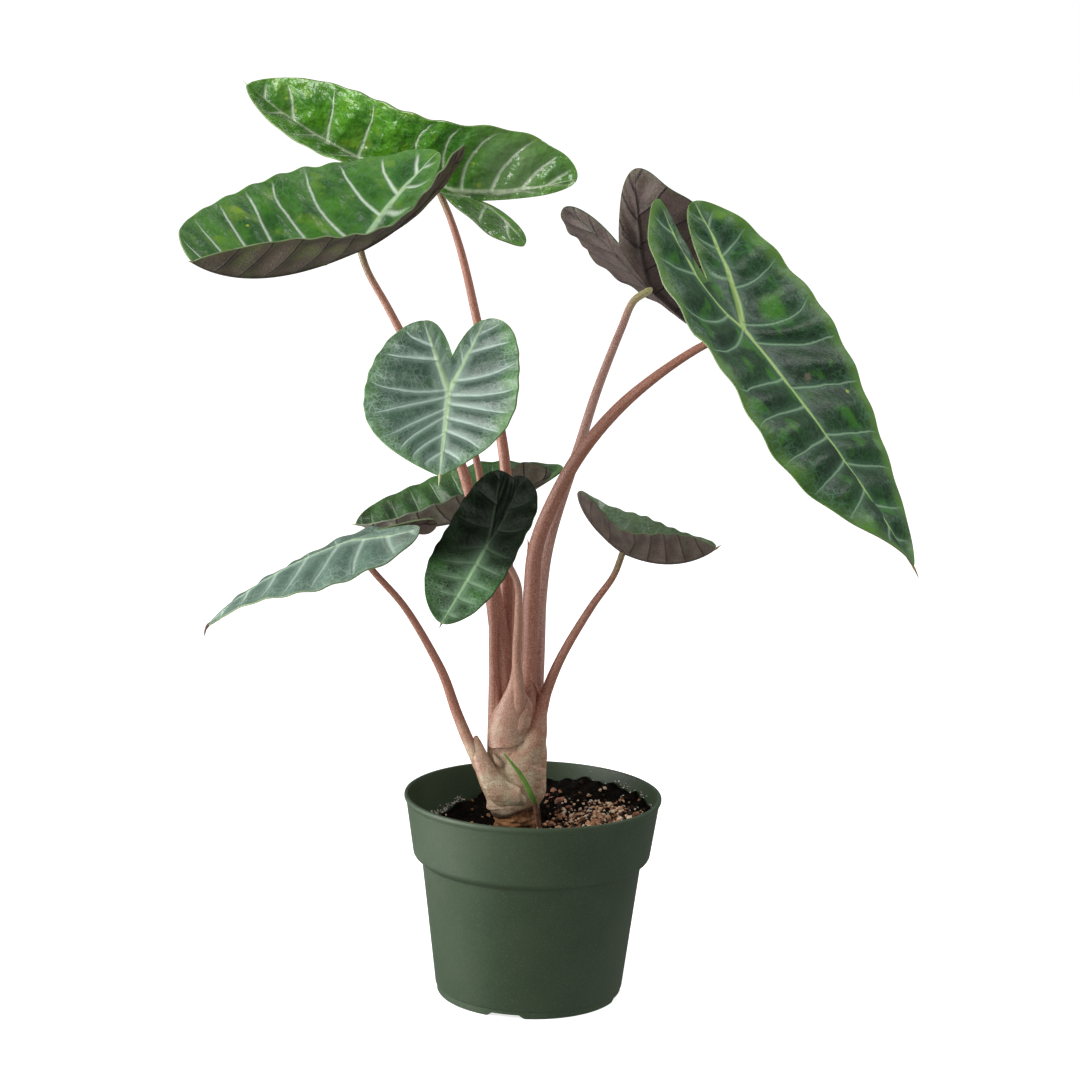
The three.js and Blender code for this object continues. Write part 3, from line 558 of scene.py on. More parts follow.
@dataclass(frozen=True)
class StalkFinish:
    """Colours of a stalk from its stained foot over sheath and middle up to the neck below the leaf."""

    sheath: tuple = srgb(216, 203, 170)
    blotch: tuple = srgb(200, 166, 136)
    foot: tuple = srgb(58, 42, 32)
    middle: tuple = srgb(180, 120, 98)
    neck: tuple = srgb(126, 124, 70)
    streak: tuple = srgb(122, 74, 60)
    pale: tuple = srgb(212, 180, 162)

    def dress(self, name: str) -> bpy.types.Material:
        """Pink-brown skin with long streaks and grains, paler and creased below and green at the neck.

        Args:
            name: Name of the material.

        Returns:
            The material.
        """
        g = Graph(name)
        rim, left, around = g.parts(g.attribute("tube"))
        place = g.attribute("streak")
        solid = g.place()
        long = g.noise(place, 1.0, 4, 0.6)
        grain = g.noise(solid, 1100, 3, 0.75)
        cloud = g.noise(solid, 75, 4, 0.6)
        height = g.parts(solid)[2]
        low = g.ease(g.math("MULTIPLY_ADD", cloud, 0.05, height), 0.152, 0.212, 1, 0)
        base = g.mix(g.ease(cloud, 0.38, 0.62), self.sheath, self.blotch)
        colour = g.mix(low, self.middle, base)
        colour = g.mix(g.ease(long, 0.42, 0.7, 0, 0.25), colour, self.streak)
        colour = g.mix(g.ease(g.math("MULTIPLY_ADD", long, 10, left), 6, 34, 0.85, 0), colour, self.neck)
        colour = g.mix(g.ease(g.noise(place, 2.3, 2), 0.52, 0.75, 0, 0.22), colour, self.pale)
        colour = g.mix(g.ease(grain, 0.5, 0.62, 0, 0.55), colour, self.streak)
        colour = g.mix(g.ease(grain, 0.48, 0.36, 0, 0.45), colour, self.pale)
        colour = g.mix(g.math("MULTIPLY", g.ease(around, 0.975, 1.0), rim), colour, self.pale)
        stain = g.ease(g.math("MULTIPLY_ADD", cloud, -0.012, height), 0.106, 0.113, 0.85, 0)
        colour = g.mix(stain, colour, self.foot)
        g.shade(Base_Color=colour, Roughness=g.math("MULTIPLY_ADD", grain, 0.16, 0.42))
        g.shade(Specular_IOR_Level=0.34)
        creases = g.noise(g.place((1.0, 1.0, 2.4)), 120, 3, 0.55)
        crease = g.math("MULTIPLY", creases, g.ease(height, 0.13, 0.2, 5, 0))
        streaks = g.math("MULTIPLY_ADD", long, 0.8, g.math("MULTIPLY", grain, 0.35))
        g.bump(g.math("ADD", crease, streaks), 0.00035, 0.7)
        return g.material


@dataclass(frozen=True)
class PlainFinish:
    """A finish of two mottled colours with a grain, for pot, growing medium, rootstock and dry scraps.

    Attributes:
        main: First colour of the mottling.
        other: Second colour of the mottling.
        pale: Colour of the grain's tops.
        cloud: Fineness of the mottling.
        grain: Fineness of the grain.
        rough: Roughness of the surface.
        depth: Depth of the grain in metres.
        dust: How much paler the tops are than on a clean surface.
        sheen: Specular level.
    """

    main: tuple
    other: tuple
    pale: tuple
    cloud: float = 500.0
    grain: float = 2500.0
    rough: float = 0.8
    depth: float = 0.0003
    dust: float = 0.0
    sheen: float = 0.35

    def dress(self, name: str) -> bpy.types.Material:
        """Mottled surface with a fine grain and some pale dust.

        Args:
            name: Name of the material.

        Returns:
            The material.
        """
        g = Graph(name)
        place = g.place()
        cloud = g.noise(place, self.cloud, 4, 0.6)
        grain = g.noise(place, self.grain, 3, 0.7)
        colour = g.mix(g.ease(cloud, 0.35, 0.65), self.main, self.other)
        colour = g.mix(g.ease(grain, 0.5, 0.8, 0, 0.4 + 0.4 * self.dust), colour, self.pale)
        g.shade(Base_Color=colour, Roughness=g.math("MULTIPLY_ADD", grain, 0.16, self.rough - 0.08))
        g.shade(Specular_IOR_Level=self.sheen)
        g.bump(grain, self.depth, 0.6)
        return g.material


def leave_edit() -> None:
    """Leave edit mode and deselect everything."""
    if bpy.context.object and bpy.context.object.mode != "OBJECT":
        bpy.ops.object.mode_set(mode="OBJECT")
    bpy.ops.object.select_all(action="DESELECT")


def pick(made: bpy.types.Object) -> None:
    """Select one object alone and make it the active one.

    Args:
        made: The object.
    """
    leave_edit()
    made.select_set(True)
    bpy.context.view_layer.objects.active = made


def placed(name: str, data: bpy.types.ID) -> bpy.types.Object:
    """Put new data into the scene as an object.

    Args:
        name: Its name.
        data: Its mesh, light or camera.

    Returns:
        The object.
    """
    made = bpy.data.objects.new(name, data)
    bpy.context.collection.objects.link(made)
    return made


def ring(radius: object, turn: np.ndarray, height: object) -> np.ndarray:
    """Places around the pot's axis, from their distance to it, their angles and their height."""
    return np.stack([radius * np.cos(turn), radius * np.sin(turn), height + 0 * turn], axis=-1)


def grid(name: str, points: np.ndarray) -> bpy.types.Object:
    """Add a grid and shape it by giving each of its corners a place.

    Args:
        name: Name of the object.
        points: Places in millimetres, as rows, columns and x, y, z.

    Returns:
        The shaped object, whose corners stay in rows and columns.
    """
    rows, columns = points.shape[:2]
    leave_edit()
    bpy.ops.mesh.primitive_grid_add(
        x_subdivisions=columns - 1, y_subdivisions=rows - 1, size=1, calc_uvs=False,
    )
    made = bpy.context.object
    made.name = name
    made.data.name = name
    made.data.vertices.foreach_set("co", (points * MM).astype(np.float32).ravel())
    made.data.update()
    return made


def corner_values(made: bpy.types.Object, name: str, values: np.ndarray) -> None:
    """Keep a vector at each corner of each face, so that joined sheets don't share it.

    Args:
        made: Object whose mesh carries the vector.
        name: Name that materials read it by.
        values: One vector for each vertex.
    """
    mesh = made.data
    loops = np.empty(len(mesh.loops), dtype=np.int32)
    mesh.loops.foreach_get("vertex_index", loops)
    layer = mesh.attributes.new(name, "FLOAT_VECTOR", "CORNER")
    layer.data.foreach_set("vector", values.reshape(-1, 3)[loops].astype(np.float32).ravel())


def joined(objects: list[bpy.types.Object], name: str) -> bpy.types.Object:
    """Join objects into the first one and name it.

    Args:
        objects: The objects.
        name: Name of the whole.

    Returns:
        The whole.
    """
    leave_edit()
    for made in objects:
        made.select_set(True)
    bpy.context.view_layer.objects.active = objects[0]
    if len(objects) > 1:
        bpy.ops.object.join()
    whole = bpy.context.object
    whole.name = name
    whole.data.name = name
    return whole


def close_up(made: bpy.types.Object, gap: float = 0.02) -> None:
    """Merge corners that meet, turn all faces outwards and smooth them.

    Args:
        made: Object to close.
        gap: Distance in millimetres under which corners are merged.
    """
    pick(made)
    bpy.ops.object.mode_set(mode="EDIT")
    bpy.ops.mesh.select_all(action="SELECT")
    bpy.ops.mesh.remove_doubles(threshold=gap * MM)
    bpy.ops.mesh.normals_make_consistent(inside=False)
    bpy.ops.object.mode_set(mode="OBJECT")
    bpy.ops.object.shade_smooth()


def finish_piece(made: bpy.types.Object, node: str) -> None:
    """Let a piece ride on the plant and stand for a solid of the model.

    Args:
        made: The piece.
        node: Solid that it stands for, if any.
    """
    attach(made, ROOT)
    if node:
        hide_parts(node)
    LOG.info("%s: %d faces", made.name, len(made.data.polygons))


def unit(vectors: np.ndarray) -> np.ndarray:
    """Scale vectors to length one."""
    return vectors / np.maximum(np.linalg.norm(vectors, axis=-1, keepdims=True), 1e-9)


def spline(points: np.ndarray, share: float) -> np.ndarray:
    """Point on a smooth curve whose speed follows the root of the distance between its points.

    Args:
        points: Points that the curve passes through.
        share: Share of the way from the first to the last point.

    Returns:
        The place on the curve.
    """
    place = share * (len(points) - 1)
    index = min(int(place), len(points) - 2)
    mix = place - index
    before = points[index - 1] if index > 0 else 2 * points[0] - points[1]
    start, end = points[index], points[index + 1]
    after = points[index + 2] if index + 2 < len(points) else 2 * points[-1] - points[-2]
    first, second, third = (
        max(np.linalg.norm(b - a), 1e-6) ** 0.5 for a, b in ((before, start), (start, end), (end, after))
    )
    leave = (start - before) / first - (end - before) / (first + second) + (end - start) / second
    reach = (end - start) / second - (after - start) / (second + third) + (after - end) / third
    leave = leave * second
    reach = reach * second
    bend = -3 * start + 3 * end - 2 * leave - reach
    turn = 2 * start - 2 * end + leave + reach
    return start + leave * mix + bend * mix**2 + turn * mix**3


@dataclass
class Tube:
    """A stalk or sheath: an oval tube through points with widths and depths.

    Attributes:
        route: Stops that the tube passes through.
        side: Direction along which the widths are measured.
        step: Distance between its rings.
        sides: Number of sides of a ring.
        grooves: Depth of the long grooves, as a share of the radius.
        beyond: Distance past its end at which its colours would reach the leaf.
        hem: How far the edge at its start rises on one side.
        rim: How pale its two side edges are, from 0 to 1.
    """

    route: Route
    side: np.ndarray
    step: float = 1.6
    sides: int = 30
    grooves: float = 0.0
    beyond: float = 0.0
    hem: float = 0.0
    rim: float = 0.15

    def rings(self) -> tuple[np.ndarray, np.ndarray, np.ndarray]:
        """Work out the tube's corners.

        Returns:
            Corners by ring and side, the vector that materials read for paleness of the edges,
            distance left to the end and way around, and the one that stretches their streaks.
        """
        points = np.array([stop[:3] for stop in self.route], float)
        sizes = np.array([stop[3:] for stop in self.route], float)
        length = np.sum(np.linalg.norm(np.diff(points, axis=0), axis=1))
        count = max(8, int(length / self.step))
        shares = np.linspace(0, 1, count + 1)
        centres = np.array([spline(points, share) for share in shares])
        along = unit(np.gradient(centres, axis=0))
        places = shares * (len(points) - 1)
        stops = np.arange(len(points))
        wide = np.interp(places, stops, sizes[:, 0]) / 2
        deep = np.interp(places, stops, sizes[:, 1]) / 2
        across = unit(self.side - (along @ self.side)[:, None] * along)
        out = np.cross(along, across)
        turn = np.linspace(0, 2 * np.pi, self.sides + 1)
        travelled = np.concatenate([[0], np.cumsum(np.linalg.norm(np.diff(centres, axis=0), axis=1))])
        fluting = 1 + self.grooves * np.cos(7 * turn)[None] * np.sin(travelled * 0.02 + 1)[:, None]
        corners = centres[:, None] + (wide[:, None] * np.cos(turn) * fluting)[..., None] * across[:, None]
        corners = corners + (deep[:, None] * np.sin(turn) * fluting)[..., None] * out[:, None]
        if self.hem:
            rise = np.maximum(np.cos(turn), 0) ** 1.5 + 0.1 * np.sin(3 * turn)
            corners[..., 2] += self.hem * rise[None] * np.exp(-travelled / 6)[:, None]
        left = travelled[-1] - travelled + self.beyond
        tube = self.repeated(self.rim, left[:, None], np.abs(np.cos(turn)))
        streak = self.repeated(2 * np.cos(turn), 2 * np.sin(turn), 0.04 * travelled[:, None] + centres[0, 0])
        return self.capped(corners, centres), tube, streak

    @staticmethod
    def capped(corners: np.ndarray, centres: np.ndarray) -> np.ndarray:
        """Close both ends with a ring that has shrunk to a point."""
        low, high = (np.broadcast_to(centres[end], corners[:1].shape) for end in (0, -1))
        return np.concatenate([low, corners, high])

    @staticmethod
    def repeated(*values: object) -> np.ndarray:
        """Stack numbers into vectors and repeat the first and last ring's for the closed ends."""
        vectors = np.stack(np.broadcast_arrays(*values), axis=-1)
        return np.concatenate([vectors[:1], vectors, vectors[-1:]])

    def build(self, name: str) -> bpy.types.Object:
        """Make the tube's mesh with the vectors that its material reads.

        Args:
            name: Name of the tube.

        Returns:
            The tube.
        """
        corners, tube, streak = self.rings()
        made = grid(name, corners)
        corner_values(made, "tube", tube)
        corner_values(made, "streak", streak)
        return made


@dataclass
class Leaf:
    """A leaf blade, given by where its stalk joins, its flat outline and how it bends.

    Pairs hold the left and the right half. Stations run from the lobe's end (-1) over the
    stalk (0) to the tip (1). azimuth, pitch and roll turn the blade at its stalk. length and
    lobes reach from there to the tip and back to the lobes' ends, width is the half width,
    spread the distance of the lobes' ends from the midrib and sinus the way back to the notch.
    bow, full, sharp, lobe_full and sinus_curve round the outline, and tip_drop, lobe_rise,
    sweep, twist and lobe_twist bend and turn the midrib. fold and curl raise and bend each
    half at the lobe's end, at the stalk and at the tip. veins counts the side veins ahead of
    the stalk and behind it, and laterals gives their stations on rib and margin. wave and
    quilt are the heights of the margin's waves and of the quilting, and phase starts the waves
    and sets the leaf's patterns apart. point is the dried point's length, thickness and droop
    and dry its finish, and border is the finish of the rim. first_margin is the share of the
    length where the margin's station is 0, centre_share that of the lobe's rib where the
    halves part, and cell the distance between corners. frames and materials are made here.
    """

    name: str
    at: Triple
    azimuth: float
    pitch: float
    roll: float
    length: float
    lobes: Pair
    width: Pair
    spread: Pair
    sinus: float
    bow: float
    full: Pair
    sharp: float
    tip_drop: float
    lobe_rise: float
    sweep: float
    twist: float
    lobe_twist: float
    fold: tuple[Triple, Triple]
    curl: tuple[Triple, Triple]
    veins: tuple[int, int]
    wave: float
    quilt: float
    phase: float
    top: LeafFinish
    under: UnderFinish
    laterals: tuple[list[Pair], list[Pair]] | None = None
    point: Triple = (4.0, 0.9, 20.0)
    dry: PlainFinish | None = None
    border: PlainFinish | None = None
    thick: float = 0.85
    rib: float = 1.9
    first_margin: float = 0.28
    centre_share: float = 0.4
    sinus_curve: float = 0.55
    lobe_full: float = 2.4
    cell: float = 1.15
    steps: int = 40
    frames: dict = field(default_factory=dict)
    materials: list = field(default_factory=list)

    def __post_init__(self) -> None:
        """Work out the bent midrib from the longer lobe's end to the tip."""
        back = max(self.lobes)
        azimuth, pitch, roll = (math.radians(angle) for angle in (self.azimuth, self.pitch, self.roll))
        run = math.cos(pitch)
        forward = np.array([run * math.cos(azimuth), run * math.sin(azimuth), math.sin(pitch)])
        level = np.array([-math.sin(azimuth), math.cos(azimuth), 0.0])
        above = np.cross(forward, level)
        side = level * math.cos(roll) + above * math.sin(roll)
        normal = above * math.cos(roll) - level * math.sin(roll)
        behind_stalk = np.linspace(-back, 0, self.steps + 1)[:-1]
        x = np.concatenate([behind_stalk, np.linspace(0, self.length, self.steps + 1)])
        share = np.where(x >= 0, x / self.length, x / back)
        ahead = np.maximum(share, 0)
        behind = np.minimum(share, 0)
        bend = math.radians(self.tip_drop) * ahead**1.2 + math.radians(self.lobe_rise) * behind
        sweep = math.radians(self.sweep) * ahead
        lift = np.where(share >= 0, -np.sin(bend), np.sin(bend))
        onward = np.outer(np.cos(bend) * np.cos(sweep), forward)
        sideways = np.outer(np.cos(bend) * np.sin(sweep), side)
        along = unit(onward + sideways + np.outer(lift, normal))
        sides = unit(side - (along @ side)[:, None] * along)
        normals = np.cross(along, sides)
        twist = math.radians(self.twist) * ahead - math.radians(self.lobe_twist) * behind
        turned = sides * np.cos(twist)[:, None] + normals * np.sin(twist)[:, None]
        lifted = normals * np.cos(twist)[:, None] - sides * np.sin(twist)[:, None]
        strides = (along[1:] + along[:-1]) / 2 * np.diff(x)[:, None]
        places = np.concatenate([np.zeros((1, 3)), np.cumsum(strides, axis=0)])
        places += np.array(self.at) - places[self.steps]
        self.frames = {"x": x, "place": places, "side": turned, "normal": lifted, "along": along}

    def along_midrib(self, key: str, x: np.ndarray) -> np.ndarray:
        """Place or direction of the midrib at a distance along it."""
        values = self.frames[key]
        return np.stack([np.interp(x, self.frames["x"], values[:, k]) for k in range(3)], axis=-1)

    def eased(self, values: Triple, x: np.ndarray) -> np.ndarray:
        """Ease from the lobe end's value through the stalk's to the tip's.

        Args:
            values: Degrees at the lobe's end, at the stalk and at the tip.
            x: Distances along the midrib.

        Returns:
            Radians at each distance.
        """
        share = np.clip(np.where(x >= 0, x / self.length, x / max(self.lobes)), -1, 1)
        end = np.where(share < 0, values[0], values[2])
        return np.radians(values[1] + (end - values[1]) * share**2 * (3 - 2 * np.abs(share)))

    def sheet(self, x: np.ndarray, y: np.ndarray, side: Side) -> np.ndarray:
        """Bend the flat leaf into space.

        Args:
            x: Distances along the midrib.
            y: Distances from the midrib, all positive.
            side: Half of the blade.

        Returns:
            The places in space.
        """
        half = self.width[side.value]
        fold = self.eased(self.fold[side.value], x)
        bend = self.eased(self.curl[side.value], x) * y / half / 2
        reach = y * np.sinc(bend / np.pi)
        cycle = 2 * np.pi * self.veins[0] * x / self.length + math.radians(self.phase + 140 * side.value)
        wave = self.wave * (y / half) ** 2 * np.sin(cycle)
        flat = side.outward * reach * np.cos(fold + bend)
        rise = reach * np.sin(fold + bend) + wave
        place = self.along_midrib("place", x) + flat[..., None] * self.along_midrib("side", x)
        return place + rise[..., None] * self.along_midrib("normal", x)

    def upward(self, x: np.ndarray, y: np.ndarray, side: Side) -> np.ndarray:
        """Direction that the upper face looks in at places on the flat leaf.

        Args:
            x: Distances along the midrib.
            y: Distances from the midrib.
            side: Half of the blade.

        Returns:
            One direction for each place.
        """
        here = self.sheet(x, y, side)
        back = np.where(x < 0, -1.0, 1.0) * 0.5
        along = (self.sheet(x - back, y, side) - here) * -np.sign(back)[..., None]
        across = self.sheet(x, y + 0.5, side) - here
        normal = unit(np.cross(along, across)) * side.outward
        middle = unit(self.along_midrib("normal", x))
        return np.where((y < 1e-6)[..., None], middle, normal)

    def outer_width(self, x: np.ndarray, side: Side) -> np.ndarray:
        """Half width of the flat leaf at a distance along the midrib.

        Args:
            x: Distances along the midrib.
            side: Half of the blade.

        Returns:
            One half width for each distance.
        """
        half = self.width[side.value]
        spread = self.spread[side.value]
        ahead = half * (1 - np.clip(x / self.length, 0, 1) ** self.full[side.value]) ** self.sharp
        rest = 1 - np.clip(-x / self.lobes[side.value], 0, 1) ** self.lobe_full
        return np.where(x >= 0, ahead, spread + (half - spread) * np.sqrt(rest))

    def rib_line(self, station: np.ndarray, side: Side) -> np.ndarray:
        """Flat place on the midrib, or on the lobe's own rib for stations below zero.

        Args:
            station: Stations on the rib or the margin.
            side: Half of the blade.

        Returns:
            One flat place for each station.
        """
        back = np.clip(-station, 0, 1)
        x = np.where(station >= 0, self.length * station, -self.lobes[side.value] * back)
        y = self.spread[side.value] * (back + self.bow * back * (1 - back))
        return np.stack([x, y], axis=-1)

    def margin_line(self, station: np.ndarray, side: Side) -> np.ndarray:
        """Flat place on the outer margin.

        Args:
            station: Stations on the rib or the margin.
            side: Half of the blade.

        Returns:
            One flat place for each station.
        """
        first = self.first_margin * self.length
        back = (first + self.lobes[side.value]) * np.sin(np.clip(-station, 0, 1) * np.pi / 2)
        x = np.where(station >= 0, first + (self.length - first) * station, first - back)
        return np.stack([x, self.outer_width(x, side)], axis=-1)

    def parting(self) -> float:
        """Share of the lobe's rib at which the two halves part, as on the solid blade."""
        stations = 2 * self.veins[1]
        return round(self.centre_share * stations) / stations

    def inner_line(self, station: np.ndarray, side: Side) -> np.ndarray:
        """Flat place on the centre line down to the notch, then on the notch's edge.

        Args:
            station: Stations on the rib or the margin.
            side: Half of the blade.

        Returns:
            One flat place for each station.
        """
        parting = self.parting()
        share = -station
        turn = np.sin(np.clip((share - parting) / (1 - parting), 0, 1) * np.pi / 2)
        lobe = self.lobes[side.value]
        edge = -(self.sinus + (lobe - self.sinus) * turn)
        x = np.where(share <= parting, -self.sinus * share / parting, edge)
        y = self.spread[side.value] * (1 - (1 - turn) ** self.sinus_curve)
        return np.stack([x, np.where(share <= parting, 0, y)], axis=-1)

    def side_veins(self, side: Side, panel: Panel) -> list[Pair]:
        """List the side veins, with one beyond each end.

        Args:
            side: Half of the blade.
            panel: Panel of the blade.

        Returns:
            Pairs of stations on the rib and the margin.
        """
        if panel is Panel.INNER:
            veins = [(-0.84, -0.88), (-0.62, -0.7), (-0.38, -0.52)]
        elif self.laterals:
            veins = list(self.laterals[side.value])
        else:
            ahead, behind = self.veins
            jitter = 0.012 * (1 if side is Side.LEFT else -1)
            stops = [(i + 0.4) / behind - 1 for i in range(behind)]
            stops += [(i + 0.35) / ahead for i in range(ahead)]
            veins = [(stop + jitter, stop - 0.13 * (1 - abs(stop))) for stop in stops]
        return [(-1.3, -1.3), *veins, (1.25, 1.25)]

    def vein_phase(self, station: np.ndarray, across: np.ndarray, side: Side, panel: Panel) -> np.ndarray:
        """Count side veins from the lobe's end: the phase is whole on each of them.

        Args:
            station: Stations of the rows.
            across: Shares of the way from rib to margin.
            side: Half of the blade.
            panel: Panel of the blade.

        Returns:
            The phase for each row and column.
        """
        veins = np.array(self.side_veins(side, panel))
        phase = np.empty((len(station), len(across)))
        for column, share in enumerate(across):
            bowed = share**1.25
            stops = veins[:, 0] + (veins[:, 1] - veins[:, 0]) * bowed
            phase[:, column] = np.interp(station, np.maximum.accumulate(stops), np.arange(len(veins)))
        return phase

    @staticmethod
    def vein_gap(flat: np.ndarray, phase: np.ndarray) -> np.ndarray:
        """Distance in millimetres over which the phase grows by one.

        Args:
            flat: Places on the flat leaf, by row and column.
            phase: Phase at each place.

        Returns:
            The distances.
        """
        down = np.gradient(flat, axis=0)
        over = np.gradient(flat, axis=1)
        rise_down = np.gradient(phase, axis=0)
        rise_over = np.gradient(phase, axis=1)
        area = down[..., 0] * over[..., 1] - over[..., 0] * down[..., 1]
        area = np.where(np.abs(area) < 1e-4, 1e-4, area)
        slope_x = (rise_down * over[..., 1] - rise_over * down[..., 1]) / area
        slope_y = (down[..., 0] * rise_over - over[..., 0] * rise_down) / area
        return np.clip(1 / np.maximum(np.hypot(slope_x, slope_y), 1e-3), 2, 60)

    def stations(self, side: Side, outer: bool) -> np.ndarray:
        """Stations of a panel's rows, from the lobe's end over the parting to the stalk or the tip.

        Args:
            side: Half of the blade.
            outer: Whether the panel runs on to the tip.

        Returns:
            The stations in rising order.
        """
        parting = self.parting()
        behind = max(12, int(self.lobes[side.value] * (1 - parting) / self.cell))
        centre = max(8, int(self.lobes[side.value] * parting / self.cell))
        ahead = max(16, int(self.length / self.cell))
        return np.concatenate([
            np.linspace(-1, -parting, behind + 1)[:-1],
            np.linspace(-parting, 0, centre + 1)[:-1],
            np.linspace(0, 1, ahead + 1) if outer else [0.0],
        ])

    @staticmethod
    def wrapped(*values: np.ndarray) -> np.ndarray:
        """Stack numbers into vectors and run them over the top, the rim and back below."""
        top = np.stack(values, axis=-1)
        return np.concatenate([top, top[:, -1:], top[:, ::-1]], axis=1)

    def panel(self, side: Side, panel: Panel) -> bpy.types.Object:
        """Make one wrapped sheet: over the top from the rib, around the edge and back below.

        Args:
            side: Half of the blade.
            panel: Panel of the blade.

        Returns:
            The sheet, with the vectors that the leaf's materials read.
        """
        outer = panel is Panel.OUTER
        parting = self.parting()
        station = self.stations(side, outer)
        reach = self.width[side.value] if outer else self.spread[side.value] + self.sinus * 0.6
        columns = max(8, int(reach / self.cell))
        across = np.linspace(0, 1, columns + 1)
        start = self.rib_line(station, side)
        end = self.margin_line(station, side) if outer else self.inner_line(station, side)
        rim = self.margin_line(station, side)
        body = np.linalg.norm(rim - start, axis=-1)
        span = np.linalg.norm(end - start, axis=-1)
        share = np.where(span[:, None] < 1e-3, 0, across[None])
        flat = start[:, None] + (end - start)[:, None] * share[..., None]
        x, y = flat[..., 0], flat[..., 1]
        phase = self.vein_phase(station, across, side, panel)
        gap = self.vein_gap(flat, phase)
        near = np.abs(phase - np.round(phase)) * gap
        from_rib = share * span[:, None]
        to_edge = (1 - share) * span[:, None]
        if not outer:
            to_edge = to_edge + np.where(station > -parting, 30.0, 0.0)[:, None]
        taper = np.clip((1 - np.abs(station)) ** 0.7, 0, 1)[:, None]
        rib_width = np.clip(2.1 * (self.length / 140) ** 0.4 * taper ** 0.8, 0.35, 2.6)
        swell = -self.quilt * np.cos(2 * np.pi * phase) * np.sin(np.pi * share) * np.clip(gap / 16, 0.3, 1)
        swell = swell * np.minimum(1, span / 12)[:, None]
        seat = np.clip(near / 1.1, 0, 3)
        groove = 0.3 * np.exp(-seat**2) * (1 - share) * np.minimum(1, from_rib / 3)
        bead = np.exp(-((from_rib / rib_width) ** 2))
        thin = np.minimum(1, body / 3)[:, None]
        half = self.thick / 2 * thin
        middle = self.sheet(x, y, side)
        normal = self.upward(x, y, side)
        above = (half + swell - groove + 0.35 * bead * taper * thin)[..., None]
        below = (swell - half - groove * 1.6 - self.rib * bead * taper * thin)[..., None]
        top = middle + normal * above
        bottom = middle + normal * below
        edge = self.edge_ring(middle, normal, swell, half, side, panel, station)
        points = np.concatenate([top, edge[:, None], bottom[:, ::-1]], axis=1)
        made = grid(f"{self.name}_{side.name.lower()}_{panel.value}", points)
        for material in self.materials:
            made.data.materials.append(material)
        apart = self.phase * 2.0
        corner_values(made, "flat", self.wrapped(x + apart, y * side.outward, np.zeros_like(x)))
        corner_values(made, "vein", self.wrapped(phase, gap, share))
        corner_values(made, "line", self.wrapped(from_rib / rib_width, to_edge, station[:, None] + 0 * x))
        self.paint(made, len(station), columns, panel, int(np.sum(station < -parting - 1e-9)))
        return made

    def edge_ring(self, middle: np.ndarray, normal: np.ndarray, swell: np.ndarray, half: np.ndarray,
                  side: Side, panel: Panel, station: np.ndarray) -> np.ndarray:
        """Middle of the rounded rim, a little outside the sheet's edge.

        Args:
            middle: Middle surface of the sheet.
            normal: Upward directions.
            swell: Rise of the surface between the veins.
            half: Half thickness by row.
            side: Half of the blade.
            panel: Panel of the blade.
            station: Stations of the rows.

        Returns:
            One place for each row.
        """
        edge = middle[:, -1] + normal[:, -1] * swell[:, -1:]
        tangent = unit(np.gradient(edge, axis=0))
        out = np.cross(tangent, normal[:, -1]) * side.outward
        if panel is Panel.INNER:
            out = -out
            notch = np.abs(station + self.parting()) < 1e-9
            back = -self.along_midrib("along", np.full(len(station), -self.sinus))
            out = np.where(notch[:, None], back, out)
        return edge + unit(out) * half

    @staticmethod
    def paint(made: bpy.types.Object, rows: int, columns: int, panel: Panel, notch: int) -> None:
        """Give the faces their material slots and take out the rim where the halves meet.

        Args:
            made: Wrapped sheet.
            rows: Number of its rows of corners.
            columns: Number of its face columns on the top.
            panel: Panel of the blade.
            notch: Row at which the inner panel's rim ends.
        """
        mesh = made.data
        wide = 2 * columns + 2
        index = np.arange(len(mesh.polygons))
        column = index % wide
        slots = np.where(column < columns, 0, np.where(column < columns + 2, 2, 1))
        mesh.polygons.foreach_set("material_index", slots.astype(np.int32))
        if panel is Panel.INNER:
            row = index // wide
            doomed = (slots == 2) & (row >= notch) & (row < rows)
            pick(made)
            bpy.ops.object.mode_set(mode="EDIT")
            bpy.ops.mesh.select_mode(type="FACE")
            bpy.ops.mesh.select_all(action="DESELECT")
            bpy.ops.object.mode_set(mode="OBJECT")
            mesh.polygons.foreach_set("select", doomed)
            bpy.ops.object.mode_set(mode="EDIT")
            bpy.ops.mesh.delete(type="ONLY_FACE")
            bpy.ops.object.mode_set(mode="OBJECT")

    def spike(self) -> bpy.types.Object:
        """Small dried point that runs on from the leaf's tip.

        Returns:
            The point.
        """
        length, thick, droop = self.point
        tip = self.frames["place"][-1]
        along = self.frames["along"][-1]
        down = np.array([0.0, 0.0, -1.0])
        stops = []
        for share in (-0.5, 0.0, 0.35, 0.7, 1.0):
            lean = math.radians(droop) * max(share, 0)
            sunk = down * length * abs(share) * math.sin(lean)
            place = tip + along * length * share * math.cos(lean) + sunk
            size = thick * (1 - 0.8 * max(share, 0)) * (1 if share > -0.4 else 0.5)
            stops.append((*place, size, size))
        return Tube(stops, self.frames["side"][-1], step=0.5, sides=10).build(f"{self.name}_point")

    def build(self) -> bpy.types.Object:
        """Make the whole blade and dress it.

        Returns:
            The dressed blade.
        """
        self.materials = [
            self.top.top(f"{self.name}_upper"),
            self.under.under(f"{self.name}_lower"),
            (self.border or EDGE_FINISH).dress(f"{self.name}_edge"),
        ]
        panels = [self.panel(side, panel) for side in Side for panel in Panel]
        blade = joined(panels, f"leaf_{self.name}")
        close_up(blade)
        spike = self.spike()
        spike.data.materials.append((self.dry or TIP_FINISH).dress(f"{self.name}_tip"))
        close_up(spike)
        blade = joined([blade, spike], f"leaf_{self.name}")
        finish_piece(blade, f"blade_{self.name}")
        return blade


